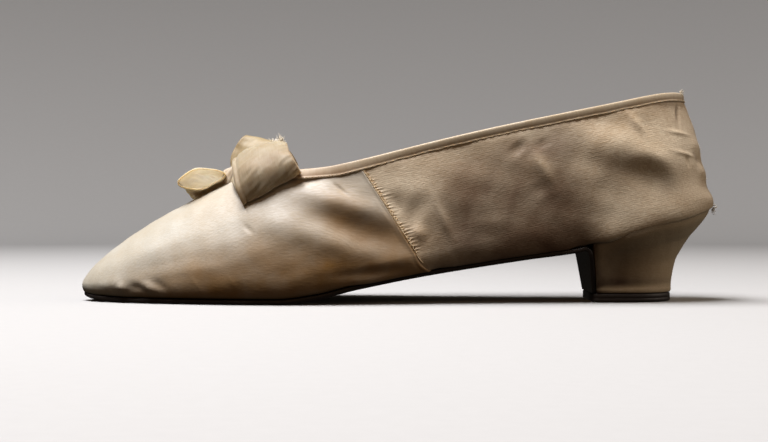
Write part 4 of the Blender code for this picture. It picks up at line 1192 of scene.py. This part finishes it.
def sole_stations():
    """Under and upper points of the leather along the shoe, and its half width, toe to heel base."""
    bend_x = BREAST_TOP_X - FLAP_BEND
    rows = np.concatenate((np.linspace(0.02, 1.0, TOE_STATIONS, endpoint=False),
                           np.linspace(1.0, place_at(bend_x - FLAP_BEND), TREAD_STATIONS)))
    stations = []
    # At the toe the leather is skived thin from below and tucked under the satin.
    full = smooth_step(rows, -0.2, 1.3)
    for (x, y), share in zip(edge_outline(rows, SOLE_MARGIN * full), full):
        top = float(sole_line(x)) + SOLE_THICKNESS
        stations.append(((x, top - SOLE_THICKNESS * (0.3 + 0.7 * share)), (x, top), -y))
    # Behind the shank it bends down round a small radius.
    centre = np.array((bend_x, float(sole_line(bend_x)) - FLAP_BEND))
    wide, top_half, low_half = stations[-1][2], -seat[0, 1] - SEAT_GAP, -base[0, 1] - SEAT_GAP
    slant = math.atan2(BREAST_FLOOR_X - BREAST_TOP_X, centre[1])
    for share in np.linspace(0.0, 1.0, FLAP_STATIONS):
        turn = (math.pi / 2.0 - slant) * share
        aim = np.array((math.sin(turn), math.cos(turn)))
        thick = SOLE_THICKNESS + (FLAP_THICKNESS - SOLE_THICKNESS) * share
        stations.append((centre + FLAP_BEND * aim, centre + (FLAP_BEND + thick) * aim,
                         wide + (top_half - wide) * share))
    # Then it runs straight down the front of the heel.
    start_z, foot_z = float(stations[-1][0][1]), TOP_PIECE + SEAT_GAP
    for share in np.linspace(0.08, 1.0, FLAP_STATIONS):
        z = start_z + (foot_z - start_z) * share
        stations.append(((breast_x(z), z), (breast_x(z) + FLAP_THICKNESS, z),
                         top_half + (low_half - top_half) * share))
    return stations


print(len(sole_stations()), "stations along the sole")

# %% Outsole
# Share of the thickness, and inset of the edge there.
SOLE_EDGE = ((0.0, 0.75), (0.02, 0.35), (0.12, 0.08), (0.35, 0.0), (0.62, -0.06), (0.85, 0.06), (1.0, 0.3),
             (1.0, 1.2))
LEAST_HALF = 0.02
sole_rings, sole_soil = [], []
for under, upper, half in sole_stations():
    under, upper = np.array(under), np.array(upper)
    near, soil_and_shade = [], []
    for share in (0.0, 0.25, 0.5, 0.75):
        near.append((*under, -share * max(half - SOLE_EDGE[0][1], LEAST_HALF)))
        soil_and_shade.append(0.75)
    for lift, inset in SOLE_EDGE:
        near.append((*(under + (upper - under) * lift), -max(half - inset, LEAST_HALF)))
        soil_and_shade.append(0.35 if lift < 0.2 else 0.05)
    ring = [(px, wide, pz) for px, pz, wide in near]
    ring += [(px, -wide, pz) for px, wide, pz in reversed(ring[1:])]
    sole_rings.append(ring)
    sole_soil.append(soil_and_shade + soil_and_shade[:0:-1])
add_piece("leather_outsole", sole_rings, tube_faces(len(sole_rings), len(sole_rings[0]), turned=True),
          sole_leather, "outsole", soil_and_shade=sole_soil)

# %% [markdown]
# ## Insole
# Inside lies a board covered with linen, slightly dished and worn dark under heel and ball. It shows
# only from above, so a plain grid with a flat under face is enough.

# %% Insole
INSOLE_BED = UPPER_WALL + SEAT_GAP
INSOLE_BOARD, INSOLE_ROWS, INSOLE_COLUMNS = 1.2, 150, 41


def there_and_back(rows):
    """Values across the upper face of a sheet, then back across its under face."""
    return np.concatenate((rows, rows[:, ::-1]), axis=1)


places = np.linspace(0.05, BACK_ROW - 0.05, INSOLE_ROWS)
edge = rib_corners(places)[0]["edge"][0]
plan = edge_outline(places, 0.5)
shares = np.linspace(-1.0, 1.0, INSOLE_COLUMNS)
board_z = edge[:, [2]] + (INSOLE_BED + INSOLE_BOARD)
board = np.stack(np.broadcast_arrays(plan[:, [0]], plan[:, [1]] * -shares[None, :], board_z), axis=-1).copy()
x, y, z = np.moveaxis(board, -1, 0)
board[..., 2] += 0.5 * np.abs(shares[None, :]) ** 4 - 0.35 + soft_waves(board, 51, 22.0, 0.12)
under = board.copy()
under[..., 2] = edge[:, [2]] + INSOLE_BED
# Worn dark under the heel and under the ball of the foot.
wear = 0.7 * bell(x, 16.0, 92.0) * bell(y, 13.0) + 0.6 * bell(x, 26.0, -48.0) * bell(y, 18.0)
both = np.concatenate((board, under[:, ::-1]), axis=1)
add_piece("insole_cover", both, tube_faces(*both.shape[:2]), lining_linen, "insole",
          soil_and_shade=there_and_back(wear))

# %% [markdown]
# ## The bow
# A ribbon bow is closed loops of ribbon drawn in by a narrow band. Each loop is a strip round a path
# given by its two selvedges, the woven edges. It is gathered into small pleats where the band
# pulls it in, and the pleats run out towards the fold. Cloth simulation could drape it, but it would
# move the loops away from where the photograph has them, so they are laid one by one.

# %% Tables of the bow
BOW_CENTRE = np.array((-50.0, 0.0, 50.3))
BOW_TILT = math.radians(30.0)
ALONG = np.array((math.cos(BOW_TILT), 0.0, math.sin(BOW_TILT)))
ACROSS = np.array((0.0, 1.0, 0.0))
UPWARD = np.array((-math.sin(BOW_TILT), 0.0, math.cos(BOW_TILT)))
# Columns: how far out, place and height of one selvedge, place and height of the other, crown between.
NEAR_LOOP = {
    "root_low": (1.0, -10.4, 3.7, 10.4, 3.7, 0.0), "root_high": (1.0, -10.4, 5.1, 10.4, 5.1, 0.0),
    "neck": (3.6, -9.6, 5.2, 10.6, 5.2, 0.2), "crest": (10.0, -8.4, 7.6, 12.0, 3.4, 2.5),
    "shoulder": (20.4, -10.0, 3.2, 12.0, 0.4, 2.0), "fold_high": (25.9, -12.0, -6.4, 11.9, -7.0, 0.8),
    "fold_low": (25.0, -12.3, -8.8, 11.9, -9.2, 0.4), "under": (18.0, -12.4, -1.4, 11.9, -1.8, 0.0),
    "tail": (9.0, -12.2, 2.3, 11.2, 1.2, 0.0), "base": (3.6, -10.6, 3.6, 10.6, 3.6, 0.0),
}
FAR_LOOP = {
    "root_low": (1.0, -10.4, 3.7, 10.4, 3.7, 0.0), "root_high": (1.0, -10.4, 5.1, 10.4, 5.1, 0.0),
    "neck": (3.6, -11.4, 5.2, 10.4, 5.2, 0.2), "rise": (7.6, -10.4, 9.6, 9.0, 6.4, 0.8),
    "crest": (12.5, -1.6, 15.0, 7.4, 7.2, 0.9), "shoulder": (20.0, -6.0, 9.2, 8.2, 4.2, 1.4),
    "fold": (26.0, -9.8, -1.6, 10.4, -4.0, 0.8), "under": (18.0, -11.4, -0.9, 11.0, -1.6, 0.0),
    "tail": (9.0, -11.0, 2.5, 10.8, 1.8, 0.0), "base": (3.6, -10.6, 3.6, 10.4, 3.6, 0.0),
}
TOE_LOOP = {
    "root": (14.2, -5.0, 5.0, 5.6, 3.4, 0.0), "top": (18.4, -6.0, 10.2, 8.6, 5.0, 0.0),
    "crest": (23.6, -6.6, 12.6, 11.0, 5.8, 0.0), "fold": (30.6, -6.4, 10.9, 12.4, 4.6, 0.0),
    "under": (26.6, -6.4, 6.2, 11.6, 1.6, 0.0), "base": (19.0, -5.8, 4.3, 8.6, 2.0, 0.0),
}
RIBBON_THICKNESS, RIBBON_POINTS, STEPS_A_ROW = 0.45, 45, 16
PLEAT_LENGTHS = (2.6, 4.1, 6.7)
print("bow at", BOW_CENTRE.tolist())

# %% Loops
def ribbon_relief(band, run, wide, out, pleat_mm, pleat_reach, seed, fold_mm):
    """Pleats from the root, fine slanting wrinkles, slow waves and the line of a folded edge."""
    draw = np.random.default_rng(seed)
    pleats = sum(ripple(wide, length, draw.uniform(0.0, ABOUT_A_TURN)) for length in PLEAT_LENGTHS) / 2.0
    relief = pleat_mm * pleats * bell(out, pleat_reach) * smooth_step(out, 0.0, 2.5)
    skew = run[:, None] * 0.9 + wide * 0.5
    wrinkles = ripple(skew, 3.4, np.sin(wide * 0.7)) + 0.7 * ripple(skew, 2.1, -wide * 0.6)
    open_ribbon = smooth_step(out, 1.0, 6.0)
    relief += 0.10 * wrinkles * open_ribbon * (0.6 + 0.4 * np.sin(wide * 0.45 + seed))
    relief += soft_waves(band, seed + 1, 9.0, 0.3) * open_ribbon
    relief -= fold_mm * bell(wide, 0.45, 1.9) * smooth_step(out, 4.0, 10.0)
    return relief


def add_loop(name, node, table, out_axis, width_axis, satin, pleat_mm, pleat_reach, seed, fold_mm=0.0):
    """A closed band of ribbon with pleats from its root and a firm selvedge on both sides."""
    rows = np.array(list(table.values()))
    spans = np.linalg.norm(np.roll(rows, -1, axis=0) - rows, axis=1)
    places = np.linspace(0.0, len(rows), len(rows) * STEPS_A_ROW, endpoint=False)
    value, _ = round_spline(rows, spans)(places)
    first = value[:, [0]] * out_axis + value[:, [1]] * width_axis + value[:, [2]] * UPWARD
    second = value[:, [0]] * out_axis + value[:, [3]] * width_axis + value[:, [4]] * UPWARD
    shares = np.linspace(0.0, 1.0, RIBBON_POINTS)
    band = first[:, None] + (second - first)[:, None] * shares[None, :, None]
    along = np.roll(band, -1, axis=0) - np.roll(band, 1, axis=0)
    normal = unit(np.cross(along, (second - first)[:, None]))
    swell = value[:, [5]] * np.dot(np.cross(out_axis, width_axis), UPWARD) * 4.0 * shares * (1.0 - shares)
    band = band + swell[..., None] * normal
    out = value[:, [0]] - value[:, 0].min()
    wide = shares[None, :] * np.linalg.norm(second - first, axis=1)[:, None]
    run = path_run(band[:, RIBBON_POINTS // 2])
    relief = ribbon_relief(band, run, wide, out, pleat_mm, pleat_reach, seed, fold_mm)
    edge = np.minimum(wide, wide[:, [-1]] - wide)
    half = (RIBBON_THICKNESS / 2.0 * (1.0 + 0.6 * bell(edge, 0.4, 0.5)))[..., None]
    middle = BOW_CENTRE + band + normal * relief[..., None]
    ring = np.concatenate((middle + normal * half, (middle - normal * half)[:, ::-1]), axis=1)
    # Painted shade in the hollows, at the root between the loops and out towards the drooping fold; darker
    # along the selvedges.
    soil_and_shade = 0.25 * np.clip(-relief, 0.0, 1.0) + 0.35 * bell(out, 3.5) + 0.2 * bell(edge, 0.4)
    soil_and_shade += 0.36 * smooth_step(out / out.max(), 0.42, 0.95)
    return add_piece(name, ring, grid_faces(*ring.shape[:2], True, True, turned=True), satin,
                     node, there_and_back(cloth_grain(run[:, None], wide)), there_and_back(soil_and_shade))


add_loop("near_ribbon_loop", "bow_loop_near", NEAR_LOOP, -ACROSS, ALONG, ribbon_satin, 0.35, 8.0, 61, 0.4)
add_loop("far_ribbon_loop", "bow_loop_far", FAR_LOOP, ACROSS, ALONG, ribbon_in_painted_shade, 0.3, 6.0, 64)
add_loop("toe_ribbon_loop", "bow_loop_toe", TOE_LOOP, -ALONG, ACROSS, ribbon_painted_glow, 0.15, 7.0, 67)

# %% [markdown]
# ## Knot
# A short pleated band holds the loops together and sticks out towards the toe. It is a flattened tube
# with pleats along it. Its toe end droops on the near side, and its silk has frayed and gone pale.

# %% Knot
KNOT_HALF_WIDTH, KNOT_RISE, KNOT_RADIUS, KNOT_TOE, KNOT_HEEL = 2.6, 4.4, 2.0, -16.0, 10.6
# How many half waves the pleats make each side, and the powers that square off its length and height.
KNOT_PLEATS, KNOT_BOX, KNOT_ROUND = 3.5, 0.45, 0.8


def rounded_box(wave, power):
    """A circle's sine or cosine, squared off by a power below one."""
    return np.sign(wave) * np.abs(wave) ** power


knot_turns = np.linspace(0.0, 2.0 * math.pi, 72, endpoint=False)
knot_shares = np.linspace(-1.0, 1.0, 41)
middle, half = (KNOT_TOE + KNOT_HEEL) / 2.0, (KNOT_HEEL - KNOT_TOE) / 2.0
rings = []
for share in knot_shares:
    pleat = 0.26 * math.cos(share * math.pi * KNOT_PLEATS) - 0.3 * share ** 2
    pleat -= 1.2 * max(abs(share) - 0.82, 0.0) / 0.18
    high = KNOT_RADIUS + pleat + 0.12 * np.cos(knot_turns * 3.0 + share * 2.0)
    along = rounded_box(np.cos(knot_turns), KNOT_BOX) * (half + 0.7 * pleat)
    rise = rounded_box(np.sin(knot_turns), KNOT_ROUND) * high
    # The toe end is the fullest: its pleats spread and droop on the near side.
    toe_end = smooth_step(-along, half * 0.55, half)
    rise = rise * (1.0 + 0.9 * toe_end) - 3.1 * toe_end * smooth_step(-share, -0.6, 0.8)
    rings.append(BOW_CENTRE + (middle + along)[:, None] * ALONG + (KNOT_RISE + rise)[:, None] * UPWARD
                 + (share * KNOT_HALF_WIDTH * (1.0 + 0.5 * toe_end))[:, None] * ACROSS)
grain = cloth_grain(knot_turns[None, :] * 5.0, knot_shares[:, None] * KNOT_HALF_WIDTH)
# Painted shade over the whole knot, deepest in the hollows between its pleats.
soil_and_shade = np.broadcast_to((0.62 - 0.2 * np.cos(knot_shares * math.pi * KNOT_PLEATS))[:, None], grain.shape[:2])
add_piece("ribbon_knot", rings, tube_faces(len(rings), len(knot_turns), turned=True), frayed_silk,
          "bow_knot", grain, soil_and_shade)

# %% [markdown]
# ## Frayed ends
# The ribbon's cut end behind the knot has frayed into a small tuft, and short threads stand off the
# back of the shoe. They are short bent hairs, thinner towards their tips, drawn at random from fixed
# seeds so that every run gives the same shoe.

# %% Tuft and loose threads
TUFT_HAIRS = 190
# Where threads have come loose at the back of the shoe, and how many.
LOOSE_ROOTS = ((114.6, -1.0, 57.0, 5), (116.4, -1.0, 46.0, 5), (119.9, -1.5, 34.8, 30),
               (106.8, -6.0, 78.1, 16))


def bent_hair(root, aim, bend, length, shares):
    """A hair that leaves its root one way and bends off another."""
    return [root + length * (share * aim + 0.5 * share ** 2 * bend) for share in shares]


draw = np.random.default_rng(71)
tuft, loose = [], []
for _ in range(TUFT_HAIRS):
    root = BOW_CENTRE + draw.uniform(6.5, 11.0) * ALONG + draw.uniform(-5.0, -0.5) * ACROSS
    root = root + (KNOT_RISE + 0.6) * UPWARD
    aim = unit(0.35 * ALONG + draw.normal(0.0, 0.5) * ACROSS + draw.uniform(0.5, 1.0) * UPWARD)
    bend = draw.normal(0.0, 0.7, 3)
    tuft.append(bent_hair(root, aim, bend, draw.uniform(1.2, 2.6), np.linspace(0.0, 1.0, 5)))
for *place, count in LOOSE_ROOTS:
    for _ in range(count):
        root = np.array(place) + draw.normal(0.0, 1.0, 3) * (0.15, 1.4, 0.8)
        aim = unit(np.array((1.0, draw.normal(0.0, 0.6), draw.normal(0.2, 0.5))))
        bend = draw.normal(0.0, 0.6, 3)
        loose.append(bent_hair(root, aim, bend, draw.uniform(0.7, 1.5), np.linspace(-0.25, 1.0, 6)))
add_threads("frayed_ribbon_end", tuft, 0.2, frayed_silk, sides=4, tapered=True)
add_threads("loose_heel_threads", loose, 0.14, frayed_silk, sides=4, tapered=True)
